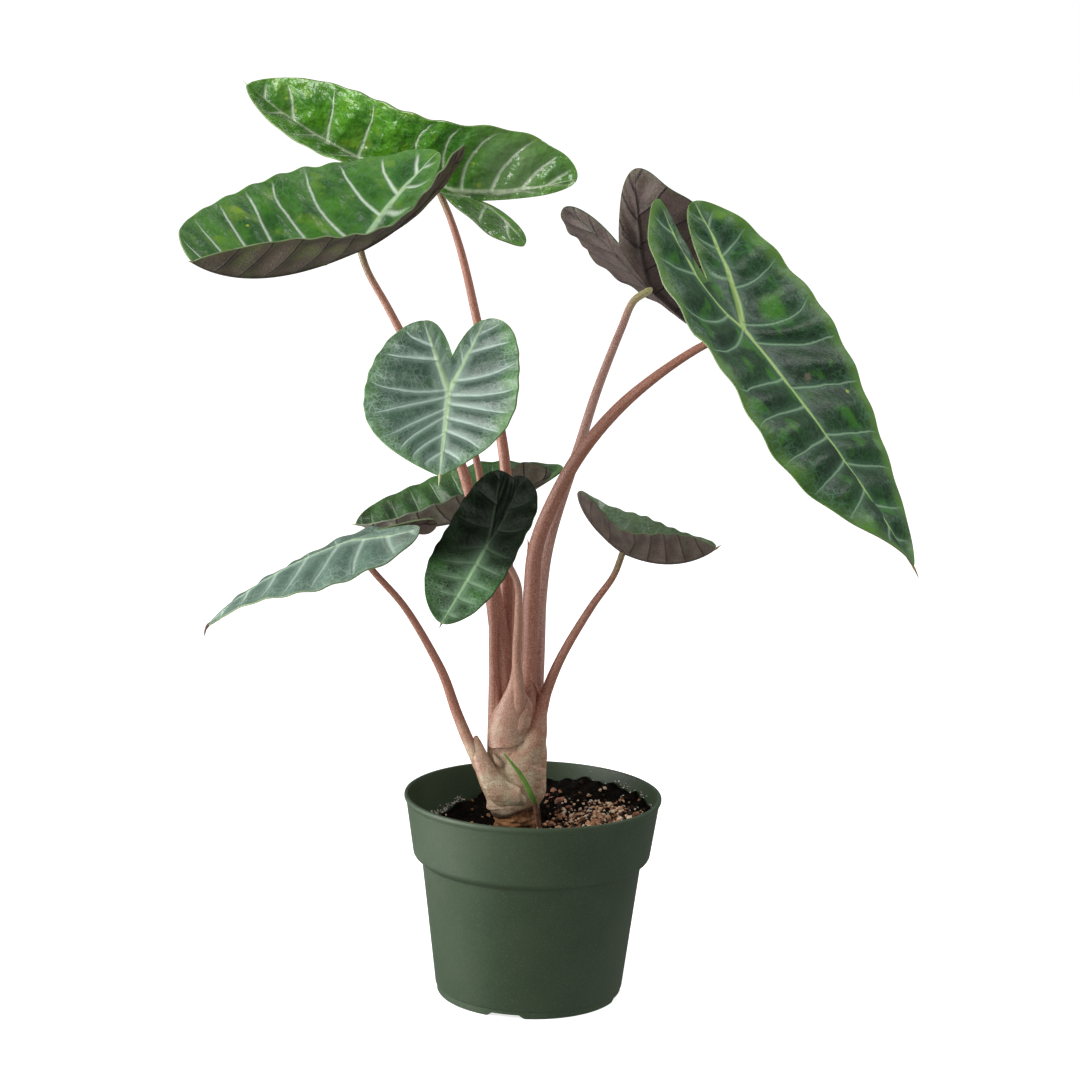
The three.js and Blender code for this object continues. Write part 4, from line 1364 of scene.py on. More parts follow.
@dataclass
class Stalk:
    """A stalk with the layers of its sheath, which wrap the foot of the plant.

    Attributes:
        name: Name of the leaf that it carries.
        route: Stops of the stalk from the rootstock to below its leaf.
        finish: Its colours.
        layers: Stops of each layer of the sheath, and of each torn flap on it.
        hems: How far the edge of each layer rises on one side.
    """

    name: str
    route: Route
    finish: StalkFinish = StalkFinish()
    layers: list[Route] = field(default_factory=list)
    hems: tuple[float, ...] = (0.0, 0.0, 0.0)

    def build(self, leaf: Leaf) -> bpy.types.Object:
        """Make the stalk up to its leaf, seated on the leaf's underside.

        Args:
            leaf: Leaf that the stalk carries.

        Returns:
            The dressed stalk.
        """
        x, y = leaf.at[0] - Rootstock.x, leaf.at[1] - Rootstock.y
        away = math.atan2(y, x)
        side = np.array([-math.sin(away), math.cos(away), 0.0])
        normal = leaf.frames["normal"][leaf.steps]
        seat = np.array(leaf.at) - normal * (leaf.thick / 2 + 0.3 * leaf.rib)
        below = np.array(leaf.at) - normal * (leaf.thick / 2 + leaf.rib + 0.3)
        last = self.route[-1]
        route = [*self.route, (*below, last[3], last[4]), (*seat, last[3] * 0.9, last[4] * 0.9)]
        tubes = [Tube(route, side, grooves=0.012).build(f"stalk_{self.name}")]
        sideways = np.array([1.0, 0.0, 0.0])
        for number, (layer, hem) in enumerate(zip(self.layers, self.hems)):
            tube = Tube(layer, sideways, step=0.8, sides=64, beyond=200, hem=hem, rim=0.6)
            tubes.append(tube.build(f"layer_{self.name}_{number}"))
        stalk = joined(tubes, f"petiole_{self.name}")
        stalk.data.materials.clear()
        stalk.data.materials.append(self.finish.dress(f"{self.name}_skin"))
        close_up(stalk)
        finish_piece(stalk, f"stalk_{self.name}")
        return stalk


@dataclass
class Pot:
    """Nursery pot: foot ring with notches, tapered wall, stepped-out band and rolled lip."""

    height: float = 127
    rim: float = 80
    wall: float = 1.5
    foot: float = 57.5
    foot_height: float = 3
    floor: float = 1.8
    wall_foot: float = 58.6
    wall_top: float = 68.3
    band_foot: float = 85
    band_base: float = 74
    band_top: float = 78.6
    band_top_height: float = 122.6
    lip: float = 2.4
    pad: float = 9
    sides: int = 160
    notch_width: float = 27
    notch_height: float = 2.5
    notch_slant: float = 5
    notch_reach: float = 8
    first_notch: float = -104
    drain_radius: float = 4
    drain_circle: float = 42
    drains: int = 8

    def inside(self) -> list[Pair]:
        """Inner wall from the floor up.

        Returns:
            Pairs of radius and height.
        """
        return [
            (self.wall_foot - self.wall - 3, self.foot_height + self.floor),
            (self.wall_foot - self.wall + 0.4, self.foot_height + self.floor + 3),
            (self.wall_top - self.wall, self.band_foot - 0.4),
            (self.wall_top + 3.6 - self.wall, self.band_foot + 4.2),
            (self.band_base - self.wall, self.band_foot + 6),
            (self.band_top - self.wall, self.band_top_height),
        ]

    def inner_radius(self, height: float) -> float:
        """Inner radius of the wall at a height."""
        profile = np.array(self.inside())
        return float(np.interp(height, profile[:, 1], profile[:, 0]))

    def profile(self) -> list[Pair]:
        """Whole section of the pot from the middle of its foot to the middle of its floor.

        Returns:
            Pairs of radius and height.
        """
        inner = self.foot - 3.5
        return [
            (0, 0), (self.pad, 0), (self.pad + 0.8, self.foot_height), (inner - 1, self.foot_height),
            (inner, 0), (self.foot - 0.6, 0), (self.foot, 0.7), (self.foot + 0.4, 4.6),
            (self.wall_foot - 0.35, 4.9), (self.wall_foot, 5.6), (self.wall_top, self.band_foot - 1),
            (self.wall_top + 0.7, self.band_foot + 0.2), (self.wall_top + 2.6, self.band_foot + 1.5),
            (self.wall_top + 4.7, self.band_foot + 3.4), (self.band_base - 0.3, self.band_foot + 4.6),
            (self.band_base, self.band_foot + 6), (self.band_top, self.band_top_height - 0.6),
            (self.band_top + 0.3, self.band_top_height + 0.2), (self.rim - 0.4, self.height - self.lip - 0.6),
            (self.rim, self.height - self.lip + 0.2), (self.rim, self.height - 0.9),
            (self.rim - 0.25, self.height - 0.35), (self.rim - 0.8, self.height),
            (self.rim - 1.8, self.height), (self.rim - 2.3, self.height - 0.3),
            (self.rim - 2.5, self.height - 0.9),
            *reversed(self.inside()), (0, self.foot_height + self.floor),
        ]

    def cutters(self) -> bpy.types.Object:
        """Blocks for the foot's notches and rods for the drain holes.

        Returns:
            The object that cuts them.
        """
        blocks = []
        for i in range(4):
            turn = math.radians(self.first_notch + 90 * i)
            leave_edit()
            bpy.ops.mesh.primitive_cube_add(size=1)
            block = bpy.context.object
            tall = self.notch_height + 1
            for corner in block.data.vertices:
                top = corner.co.z > 0
                half = self.notch_width / 2 - (self.notch_slant if top else 0)
                out = self.foot - self.notch_reach + 2 * self.notch_reach * (corner.co.x + 0.5)
                aside = half * (1 if corner.co.y > 0 else -1)
                x = out * math.cos(turn) - aside * math.sin(turn)
                y = out * math.sin(turn) + aside * math.cos(turn)
                corner.co = Vector((x, y, tall - 1 if top else -1)) * MM
            blocks.append(block)
        for i in range(self.drains):
            turn = 2 * math.pi * (i + 0.5) / self.drains
            leave_edit()
            x, y = self.drain_circle * math.cos(turn), self.drain_circle * math.sin(turn)
            place = (x * MM, y * MM, self.foot_height * MM)
            bpy.ops.mesh.primitive_cylinder_add(
                vertices=32, radius=self.drain_radius * MM, depth=0.01, location=place,
            )
            rod = bpy.context.object
            bpy.ops.object.transform_apply(location=True, rotation=True, scale=True)
            blocks.append(rod)
        return joined(blocks, "cutters")

    def build(self, finish: PlainFinish) -> bpy.types.Object:
        """Turn the section once around, cut notches and drains, and dress the pot.

        Args:
            finish: Finish of the pot.

        Returns:
            The dressed pot.
        """
        section = self.profile()
        mesh = bpy.data.meshes.new("nursery_pot")
        corners = [(radius * MM, 0, height * MM) for radius, height in section]
        mesh.from_pydata(corners, [(i, i + 1) for i in range(len(section) - 1)], [])
        pot = placed("nursery_pot", mesh)
        pick(pot)
        bpy.ops.object.mode_set(mode="EDIT")
        bpy.ops.mesh.select_all(action="SELECT")
        bpy.ops.mesh.spin(steps=self.sides, angle=2 * math.pi, center=(0, 0, 0), axis=(0, 0, 1))
        bpy.ops.mesh.select_all(action="SELECT")
        bpy.ops.mesh.remove_doubles(threshold=0.00002)
        bpy.ops.mesh.normals_make_consistent(inside=False)
        bpy.ops.object.mode_set(mode="OBJECT")
        cutters = self.cutters()
        pick(pot)
        cut = pot.modifiers.new("notches", "BOOLEAN")
        cut.operation = "DIFFERENCE"
        cut.object = cutters
        bpy.ops.object.modifier_apply(modifier=cut.name)
        bpy.data.objects.remove(cutters)
        bpy.ops.object.shade_smooth_by_angle(angle=math.radians(34))
        mesh = pot.data
        mesh.materials.clear()
        mesh.materials.append(finish.dress("moulded_green"))
        finish_piece(pot, "pot")
        return pot


@dataclass
class Rootstock:
    """Brown rootstock with the ring scars of old leaves."""

    x: float = -10.5
    y: float = 12
    bottom: float = 72
    top: float = 118
    radius: float = 13.6
    deep: float = 17.5

    def build(self, finish: PlainFinish) -> bpy.types.Object:
        """Make the ringed rootstock and dress it.

        Args:
            finish: Finish of the rootstock.

        Returns:
            The dressed rootstock.
        """
        heights = np.linspace(self.bottom, self.top, 60)
        turn = np.linspace(0, 2 * np.pi, 97)
        rows = []
        for height in heights:
            left = self.top - height
            dome = self.radius * min(1.0, 0.55 + 0.45 * math.sin(min(left / 10, 1) * math.pi / 2))
            scar = 0.45 * math.sin(height * 1.9) + 0.25 * math.sin(height * 5.3)
            rough = 0.5 * np.sin(5 * turn + height * 0.7) + 0.35 * np.sin(11 * turn - height * 1.3)
            radius = dome + scar + rough * 0.8 - 0.6
            x = self.x + radius * np.cos(turn)
            y = self.y + radius * self.deep / self.radius * np.sin(turn)
            rows.append(np.stack([x, y, np.full_like(turn, height)], axis=-1))
        ends = np.array([(self.x, self.y, self.bottom), (self.x, self.y, self.top)])
        made = grid("rootstock", Tube.capped(np.stack(rows), ends))
        close_up(made)
        made.data.materials.append(finish.dress("rootstock_bark"))
        finish_piece(made, "corm")
        return made


@dataclass(frozen=True)
class Patch:
    """An area that grains are strewn over: how many are tried, the draw's seed, middle and spread."""

    count: int
    seed: int
    centre: Pair
    reach: Pair


@dataclass
class Soil:
    """Growing medium: a lump that fills the pot, with bark, perlite and dust on it."""

    pot: Pot
    height: float = 101
    slope_right: float = 0.15
    slope_back: float = 0.18
    bump: float = 1.6
    clear: float = 0.6
    heap_at: Pair = (40, -6)
    heap_height: float = 4
    heap_spread: float = 500
    seed: int = 7

    def surface(self, x: np.ndarray, y: np.ndarray) -> np.ndarray:
        """Height of the medium, with a rounded heap of bark at the right.

        Args:
            x: Places to the right of the pot's axis.
            y: Places behind it.

        Returns:
            The heights.
        """
        lumps = np.sin(x * 0.21 + 1) * np.cos(y * 0.19) + 0.6 * np.sin(x * 0.43 - y * 0.37)
        away = (x - self.heap_at[0]) ** 2 + (y - self.heap_at[1]) ** 2
        heap = self.heap_height * np.exp(-away / self.heap_spread)
        return self.height + self.slope_right * x + self.slope_back * y + self.bump * lumps + heap

    def crumbs(self, x: np.ndarray, y: np.ndarray) -> np.ndarray:
        """Small uneven height of loose crumbs."""
        small = np.sin(x * 1.7 + 2 * np.sin(y * 0.9)) * np.cos(y * 1.9 + 1.5 * np.sin(x * 1.1))
        return 0.7 * small + 0.4 * np.sin(x * 3.1 + y * 0.4) * np.sin(y * 3.7 - x * 0.8)

    def lump(self, finish: PlainFinish) -> bpy.types.Object:
        """Make the lump with its crumbly surface and dress it.

        Args:
            finish: Finish of the medium.

        Returns:
            The dressed lump.
        """
        turn = np.linspace(0, 2 * np.pi, 201)
        profile = np.array(self.pot.inside())
        edge = np.full_like(turn, self.pot.inner_radius(self.height))
        for _ in range(6):
            level = self.surface(edge * np.cos(turn), edge * np.sin(turn)) - 1.5
            edge = np.interp(level, profile[:, 1], profile[:, 0]) - self.clear - 0.6
        rows = [ring(0, turn, self.pot.foot_height + self.pot.floor + 0.3)]
        rows += [ring(radius - self.clear, turn, height + 0.3) for radius, height in profile[:3]]
        level = self.surface(edge * np.cos(turn), edge * np.sin(turn)) - 1.5
        rows.append(ring(edge + 0.3, turn, level))
        for share in np.linspace(1, 0, 66):
            x = edge * share * np.cos(turn)
            y = edge * share * np.sin(turn)
            crumbs = self.crumbs(x, y) * min(1, share * 8)
            rows.append(np.stack([x, y, self.surface(x, y) + crumbs], axis=-1))
        made = grid("growing_medium", np.stack(rows))
        close_up(made)
        made.data.materials.append(finish.dress("damp_peat"))
        finish_piece(made, "soil")
        return made

    def grain(self, random: np.random.Generator, flat: float) -> tuple[np.ndarray, np.ndarray]:
        """One rough grain: corners of a small ball pushed in and out, and its faces.

        Args:
            random: Source of the roughness.
            flat: Height of the grain as a share of its width.

        Returns:
            Corners and triangles.
        """
        leave_edit()
        bpy.ops.mesh.primitive_ico_sphere_add(subdivisions=1, radius=0.5)
        ball = bpy.context.object
        corners = np.array([tuple(corner.co) for corner in ball.data.vertices])
        faces = np.array([tuple(face.vertices) for face in ball.data.polygons])
        bpy.data.objects.remove(ball)
        rough = random.uniform(0.7, 1.25, (len(corners), 1))
        return corners * rough * [1, random.uniform(0.5, 0.9), flat], faces

    def scatter(self, name: str, finishes: list[PlainFinish], spots: np.ndarray, sizes: np.ndarray,
                flat: float, seed: int) -> bpy.types.Object:
        """Strew grains at given spots as one piece.

        Args:
            name: Name of the piece.
            finishes: Finishes that the grains take in turn.
            spots: Middle of each grain.
            sizes: Width of each grain.
            flat: Height of a grain as a share of its width.
            seed: Start of the random draw.

        Returns:
            The piece.
        """
        random = np.random.default_rng(seed)
        shapes = [self.grain(random, flat) for _ in range(6)]
        corners, faces, slots = [], [], []
        offset = 0
        for number, (spot, size) in enumerate(zip(spots, sizes)):
            shape, triangles = shapes[number % len(shapes)]
            lean = Euler(random.uniform(-0.7, 0.7, 2).tolist() + [random.uniform(0, 6.28)]).to_matrix()
            corners.append(shape * size @ np.array(lean).T + spot)
            faces.append(triangles + offset)
            slots.extend([int(random.integers(len(finishes)))] * len(triangles))
            offset += len(shape)
        mesh = bpy.data.meshes.new(name)
        mesh.from_pydata(np.concatenate(corners) * MM, [], np.concatenate(faces).tolist())
        made = placed(name, mesh)
        for number, finish in enumerate(finishes):
            mesh.materials.append(finish.dress(f"{name}_{number}"))
        mesh.polygons.foreach_set("material_index", np.array(slots, dtype=np.int32))
        mesh.update()
        finish_piece(made, "")
        return made

    def spots(self, patches: tuple[Patch, ...]) -> np.ndarray:
        """Pick seeded spots on the surface, off the rootstock and inside the wall.

        Args:
            patches: Areas that the spots lie in.

        Returns:
            The places on the surface.
        """
        found = []
        for patch in patches:
            random = np.random.default_rng(patch.seed)
            x = random.normal(patch.centre[0], patch.reach[0], patch.count)
            y = random.normal(patch.centre[1], patch.reach[1], patch.count)
            z = self.surface(x, y)
            inside = np.hypot(x, y) < np.array([self.pot.inner_radius(level) - 4 for level in z])
            off = np.hypot(x - Rootstock.x, y - Rootstock.y) > Rootstock.radius + 2.5
            found.append(np.stack([x, y, z], axis=-1)[inside & off])
        return np.concatenate(found)

    def dress(self) -> None:
        """Lay bark, perlite and dust on the surface."""
        random = np.random.default_rng(self.seed)
        bark = self.spots(BARK_PATCHES)
        sizes = random.uniform(1.3, 3.6, len(bark)) * np.where(random.random(len(bark)) < 0.1, 1.8, 1)
        bark[:, 2] += sizes * 0.18
        self.scatter("bark_grains", BARKS, bark, sizes, flat=0.6, seed=21)
        dark = self.spots(PEAT_PATCHES)
        self.scatter("peat_crumbs", PEATS, dark, random.uniform(1.4, 4.2, len(dark)), flat=0.7, seed=22)
        white = self.spots(WHITE_PATCHES)
        sizes = random.uniform(0.9, 2.4, len(white))
        white[:, 2] += sizes * 0.3
        self.scatter("perlite", [PERLITE], white, sizes, flat=0.8, seed=23)
        self.scatter("wall_dust", [PERLITE], *self.dust(), flat=0.5, seed=24)
        chips = np.array(CHIPS)
        self.scatter("bark_chips", [CHIP], chips[:, :3], chips[:, 3], flat=0.35, seed=25)

    def dust(self) -> tuple[np.ndarray, np.ndarray]:
        """White specks on the pot's wall just above the medium.

        Returns:
            Places and sizes of the specks.
        """
        random = np.random.default_rng(self.seed + 1)
        turn = np.concatenate([random.uniform(2.2, 3.5, 420), random.uniform(0.15, 1.1, 36)])
        lift = np.abs(random.normal(0, 1.9, len(turn)))
        spots = []
        for angle, rise in zip(turn, lift):
            radius = self.pot.inner_radius(self.height + 6) - 1.5
            x, y = radius * math.cos(angle), radius * math.sin(angle)
            level = float(self.surface(np.array(x), np.array(y))) + rise
            radius = self.pot.inner_radius(level) - 0.15
            spots.append((radius * math.cos(angle), radius * math.sin(angle), level))
        return np.array(spots), random.uniform(0.5, 1.9, len(turn))


@dataclass
class Shoot:
    """Young shoot beside the rootstock: pale stalk, kinked narrow blade and a dry scale."""

    stalk: Route
    blade: Route
    scale: Route

    def build(self) -> bpy.types.Object:
        """Make the shoot from three tubes, each with its own finish.

        Returns:
            The dressed shoot.
        """
        side = np.array([1.0, 0.0, 0.0])
        pieces = []
        parts = (
            ("foot", self.stalk, SHOOT_STALK), ("blade", self.blade, SHOOT_BLADE),
            ("scale", self.scale, SHOOT_SCALE),
        )
        for name, route, finish in parts:
            tube = Tube(route, side, step=0.8, sides=20).build(f"shoot_{name}")
            tube.data.materials.append(finish.dress(f"shoot_{name}"))
            close_up(tube)
            pieces.append(tube)
        shoot = joined(pieces, "young_shoot")
        finish_piece(shoot, "sprout")
        return shoot


@dataclass(frozen=True)
class Lamp:
    """A square soft light, in metres and watts.

    Attributes:
        name: Name of the light.
        at: Its place.
        size: Its side.
        power: Its power.
        aim: Point that it looks at.
        tint: Its colour.
        gloss_only: Whether it is seen in gloss but lights nothing.
    """

    name: str
    at: Triple
    size: float
    power: float
    aim: Triple = (0.0, 0.0, 0.32)
    tint: Triple = (1.0, 1.0, 1.0)
    gloss_only: bool = False

    def hang(self) -> None:
        """Hang the light, out of the camera's sight."""
        data = bpy.data.lights.new(self.name, "AREA")
        data.size = self.size
        data.energy = self.power
        data.color = self.tint
        light = placed(self.name, data)
        light.location = self.at
        light.visible_camera = False
        light.visible_diffuse = not self.gloss_only
        way = Vector(self.aim) - Vector(self.at)
        light.rotation_euler = way.to_track_quat("-Z", "Y").to_euler()


@dataclass
class Studio:
    """Camera, pale floor and soft lights."""

    camera_at: Triple = (0.0, -1700.0, 596.0)
    pitch: float = -10.3
    roll: float = 1.37
    yaw: float = -0.02
    lens: float = 94.13
    floor_size: float = 60000.0
    floor_glow: float = 0.72
    surround: float = 0.5
    mirrored: float = 0.22

    def build_floor(self) -> None:
        """Lay a wide pale floor just under the pot."""
        leave_edit()
        bpy.ops.mesh.primitive_plane_add(size=self.floor_size * MM, location=(0, 0, 0))
        floor = bpy.context.object
        floor.name = "studio_floor"
        g = Graph("floor_white")
        soft = g.noise(g.place(), 3.0, 2)
        tone = g.mix(soft, (0.86, 0.86, 0.86, 1), (0.9, 0.9, 0.9, 1))
        g.shade(Base_Color=tone, Roughness=0.9, Specular_IOR_Level=0.0)
        g.shade(Emission_Color=(1.0, 1.0, 1.0, 1.0), Emission_Strength=self.floor_glow)
        floor.data.materials.append(g.material)
        floor.visible_diffuse = False
        floor.visible_glossy = False

    def build_camera(self) -> None:
        """Set the camera at the photograph's height, distance and tilt."""
        data = bpy.data.cameras.new("view")
        data.lens = self.lens
        data.sensor_width = 36.0
        data.clip_end = 200.0
        camera = placed("view", data)
        camera.location = Vector(self.camera_at) * MM
        tilt = Euler((math.radians(90 + self.pitch), 0, math.radians(self.yaw))).to_matrix()
        camera.rotation_euler = (tilt @ Euler((0, 0, math.radians(self.roll))).to_matrix()).to_euler()
        bpy.context.scene.camera = camera

    def build_world(self) -> None:
        """Surround the scene with white: full as a background, dimmer as a light and in gloss."""
        world = bpy.data.worlds.new("studio_light")
        world.use_nodes = True
        tree = world.node_tree
        seen = tree.nodes.new("ShaderNodeLightPath")
        gloss = tree.nodes.new("ShaderNodeMapRange")
        gloss.inputs["To Min"].default_value = self.surround
        gloss.inputs["To Max"].default_value = self.mirrored
        tree.links.new(seen.outputs["Is Glossy Ray"], gloss.inputs["Value"])
        level = tree.nodes.new("ShaderNodeMapRange")
        tree.links.new(gloss.outputs["Result"], level.inputs["To Min"])
        level.inputs["To Max"].default_value = 1.0
        tree.links.new(seen.outputs["Is Camera Ray"], level.inputs["Value"])
        background = tree.nodes["Background"]
        background.inputs["Color"].default_value = (1, 1, 1, 1)
        tree.links.new(level.outputs["Result"], background.inputs["Strength"])
        bpy.context.scene.world = world

    def build(self) -> None:
        """Build the whole studio."""
        self.build_floor()
        self.build_camera()
        for lamp in LAMPS:
            lamp.hang()
        self.build_world()
        bpy.context.scene.view_settings.view_transform = "Standard"


LAMPS = (
    Lamp("window", (-1.6, -0.7, 1.3), 1.2, 26, tint=(1.0, 0.99, 0.96)),
    Lamp("high", (1.25, 0.4, 1.85), 0.8, 13),
    Lamp("low", (-0.72, -0.13, 0.21), 0.7, 5.4, aim=(-0.15, 0.1, 0.55)),
    Lamp("card", (-0.72, -0.13, 0.21), 0.6, 15, aim=(-0.15, 0.1, 0.55), gloss_only=True),
)

BARK_PATCHES = (
    Patch(1500, 1, (42, -6), (15, 17)), Patch(300, 2, (14, -26), (22, 16)),
    Patch(160, 3, (-10, 10), (36, 34)),
)
PEAT_PATCHES = (Patch(700, 4, (-5, 0), (36, 36)), Patch(300, 5, (40, 0), (20, 26)))
WHITE_PATCHES = (Patch(110, 6, (-40, -20), (14, 12)), Patch(160, 7, (42, 2), (18, 22)))
# Place and width of each larger chip.
CHIPS = (
    (9, 51, 111.6, 7), (12.5, 46, 111.5, 6), (17, 40, 111.5, 9), (12.8, 55.6, 114, 5), (15, 24, 108, 6),
    (20, 14, 107.5, 5), (23, 30, 110, 5), (-30, 30, 101.5, 4),
)

# Three colours, fineness of mottling and grain, roughness and depth of the grain.
EDGE_FINISH = PlainFinish(srgb(140, 160, 112), srgb(112, 134, 88), srgb(176, 180, 150), 60, 900, 0.5, 0.0001)
DULL_EDGE = PlainFinish(srgb(96, 106, 84), srgb(76, 88, 62), srgb(128, 134, 116), 60, 900, 0.5, 0.0001)
TIP_FINISH = PlainFinish(srgb(122, 96, 72), srgb(150, 128, 92), srgb(176, 160, 124), 300, 1500, 0.6, 0.0001)
DARK_TIP = PlainFinish(srgb(92, 66, 50), srgb(66, 46, 36), srgb(130, 104, 84), 300, 1500, 0.6, 0.0001)
PALE_TIP = PlainFinish(srgb(206, 210, 166), srgb(188, 186, 140), srgb(222, 220, 190), 300, 1500, 0.5, 0.0001)
SHOOT_STALK = PlainFinish(srgb(150, 112, 92), srgb(120, 84, 68), srgb(180, 148, 128), 200, 1500, 0.5, 0.0002)
SHOOT_BLADE = PlainFinish(srgb(108, 148, 58), srgb(88, 130, 52), srgb(168, 190, 110), 150, 1400, 0.45, 0.0001)
SHOOT_SCALE = PlainFinish(srgb(128, 92, 66), srgb(96, 70, 50), srgb(160, 128, 96), 200, 1500, 0.7, 0.0002)
POT_FINISH = PlainFinish(
    srgb(58, 76, 54), srgb(66, 82, 60), srgb(118, 126, 106), 16, 1100, 0.5, 0.0002, dust=0.1, sheen=0.3,
)
BARK = PlainFinish(
    srgb(156, 108, 72), srgb(88, 58, 38), srgb(206, 166, 124), 150, 700, 0.85, 0.0012, dust=0.3, sheen=0.2,
)
CHIP = PlainFinish(srgb(160, 108, 84), srgb(112, 70, 52), srgb(206, 164, 138), 300, 1500, 0.7, 0.0004)
PEAT = PlainFinish(srgb(18, 14, 10), srgb(10, 8, 6), srgb(52, 40, 28), 160, 900, 0.95, 0.001, sheen=0.05)
PERLITE = PlainFinish(srgb(226, 222, 214), srgb(206, 200, 190), srgb(240, 238, 232), depth=0.0002)
BARKS = [
    PlainFinish(srgb(196, 156, 122), srgb(158, 118, 88), srgb(228, 200, 172), dust=0.2, sheen=0.2),
    PlainFinish(srgb(160, 112, 84), srgb(120, 80, 58), srgb(196, 158, 126), dust=0.2, sheen=0.2),
    PlainFinish(srgb(104, 66, 48), srgb(66, 42, 30), srgb(146, 104, 78), dust=0.2, sheen=0.2),
    PlainFinish(srgb(224, 198, 170), srgb(190, 156, 126), srgb(240, 224, 202), dust=0.2, sheen=0.2),
    PlainFinish(srgb(46, 30, 22), srgb(28, 19, 14), srgb(84, 58, 42), rough=0.85, dust=0.2, sheen=0.2),
]
PEATS = [
    PlainFinish(srgb(16, 12, 9), srgb(9, 7, 6), srgb(44, 32, 24), 400, 2000, 0.95, 0.0004, sheen=0.1),
    PlainFinish(srgb(40, 29, 20), srgb(24, 17, 12), srgb(72, 54, 38), 400, 2000, 0.95, 0.0004, sheen=0.1),
]

GREY_UNDER = UnderFinish(srgb(134, 128, 112), srgb(104, 100, 86), srgb(54, 48, 42), srgb(104, 122, 84), 0.35)
BROWN_UNDER = UnderFinish(srgb(110, 92, 86), srgb(76, 61, 56), srgb(36, 27, 24), srgb(98, 110, 66))
MOSSY_UNDER = UnderFinish(srgb(104, 90, 76), srgb(74, 66, 52), srgb(44, 36, 29), srgb(102, 118, 58), 0.6)
PINK_UNDER = UnderFinish(srgb(116, 102, 92), srgb(84, 70, 62), srgb(80, 66, 59), srgb(116, 120, 102), 0.6)

VIVID = LeafFinish(
    dark=srgb(46, 112, 10), middle=srgb(92, 160, 28), vein=srgb(214, 232, 200), silver=srgb(128, 172, 110),
    margin=srgb(118, 164, 66), spine=srgb(210, 226, 190), patch=srgb(168, 202, 36), silvering=0.36, halo=6,
    lateral=1.1, veining=0.85, netting=0.35, patches=0.35, gloss=0.24, sheen=0.4, coat=1.0, shine=0.1,
    puckers=0.75, breadth=1.9,
    marks=(
        Mark(117.6, -9.7, 1.3, srgb(206, 220, 80)), Mark(108.6, -6.6, 1.5, srgb(206, 220, 80)),
        Mark(105, 12, 1.1, srgb(206, 220, 90)), Mark(-20.6, -23.4, 1.5, srgb(196, 214, 70)),
        Mark(-26, -10.2, 3.0, srgb(196, 214, 60), 0.7), Mark(60, -14, 9, srgb(120, 176, 30), 0.5),
        Mark(-47.6, 37.4, 26, srgb(34, 66, 28), 0.85), Mark(-45, -24, 30, srgb(134, 168, 112), 0.6),
    ),
    wrinkled=True,
)
FRESH = LeafFinish(
    dark=srgb(30, 86, 14), middle=srgb(72, 132, 30), vein=srgb(216, 232, 212), silver=srgb(112, 156, 108),
    margin=srgb(108, 152, 74), spine=srgb(184, 214, 170), patch=srgb(132, 172, 36), silvering=0.34, halo=6,
    lateral=1.2, veining=0.9, netting=0.45, patches=0.5, gloss=0.36, coat=0.2, shine=0.14, puckers=0.5,
    breadth=1.6,
    marks=(Mark(220.4, -51, 5, srgb(150, 180, 44), 0.6), Mark(222, -38, 1.2, srgb(200, 214, 80)),
           Mark(248.8, 40, 9, srgb(96, 148, 30), 0.5)),
)
SILVERED = LeafFinish(
    dark=srgb(35, 62, 44), middle=srgb(54, 84, 64), vein=srgb(178, 202, 188), silver=srgb(144, 170, 156),
    margin=srgb(98, 146, 72), spine=srgb(172, 200, 158), patch=srgb(52, 104, 46), silvering=0.66, halo=5,
    lateral=0.95, veining=0.62, netting=0.55, edging=0.55, patches=0.25, gloss=0.44, coat=0.1, shine=0.2,
    puckers=0.25, breadth=2.3, aura=9,
    marks=(
        # The first mark is painted shade over one half of the blade.
        Mark(66, 26, 40, srgb(34, 58, 42), 0.6), Mark(34, 49, 16, srgb(66, 122, 30), 0.8),
        Mark(62, 52, 14, srgb(66, 122, 30), 0.8), Mark(88, 40, 12, srgb(80, 130, 44), 0.7),
        Mark(12, -40, 16, srgb(40, 92, 36), 0.6),
    ),
)
DEEP = LeafFinish(
    dark=srgb(12, 40, 14), middle=srgb(28, 70, 24), vein=srgb(148, 184, 148), silver=srgb(92, 136, 108),
    margin=srgb(108, 154, 50), spine=srgb(176, 208, 126), patch=srgb(62, 132, 6), silvering=0.42, halo=6,
    lateral=1.0, veining=0.7, netting=0.5, edging=0.8, patches=0.7, gloss=0.42, sheen=0.22, coat=0.0,
    puckers=0.2, breadth=1.55, aura=7,
    marks=(
        Mark(444.3, 19.6, 3.6, srgb(132, 108, 92), 0.75), Mark(461.7, 45.3, 1.7, srgb(196, 204, 64), 0.9),
        Mark(397.4, 31.2, 14, srgb(70, 140, 8), 0.85), Mark(324, 45.5, 6, srgb(120, 166, 40), 0.7),
        Mark(497.8, 44.4, 5, srgb(112, 168, 40), 0.7),
    ),
)
# The darkened lobes and the part round the stalk of this blade are painted shade.
NIGHT = LeafFinish(
    dark=srgb(5, 9, 4), middle=srgb(32, 64, 27), vein=srgb(120, 152, 118), silver=srgb(122, 152, 122),
    margin=srgb(64, 110, 48), spine=srgb(150, 184, 140), patch=srgb(52, 108, 24), silvering=0.66, halo=5,
    veining=0.55, lateral=0.9, edging=0.6, patches=0.4, gloss=0.5, sheen=0.05, coat=0.0, shine=0.15,
    puckers=0.35, painted_shade=0.93, painted_shade_end=0.5, breadth=1.7, aura=12,
    marks=(Mark(504, -24.5, 10, srgb(62, 122, 20), 0.7), Mark(525, -24, 9, srgb(54, 116, 22), 0.6)),
)
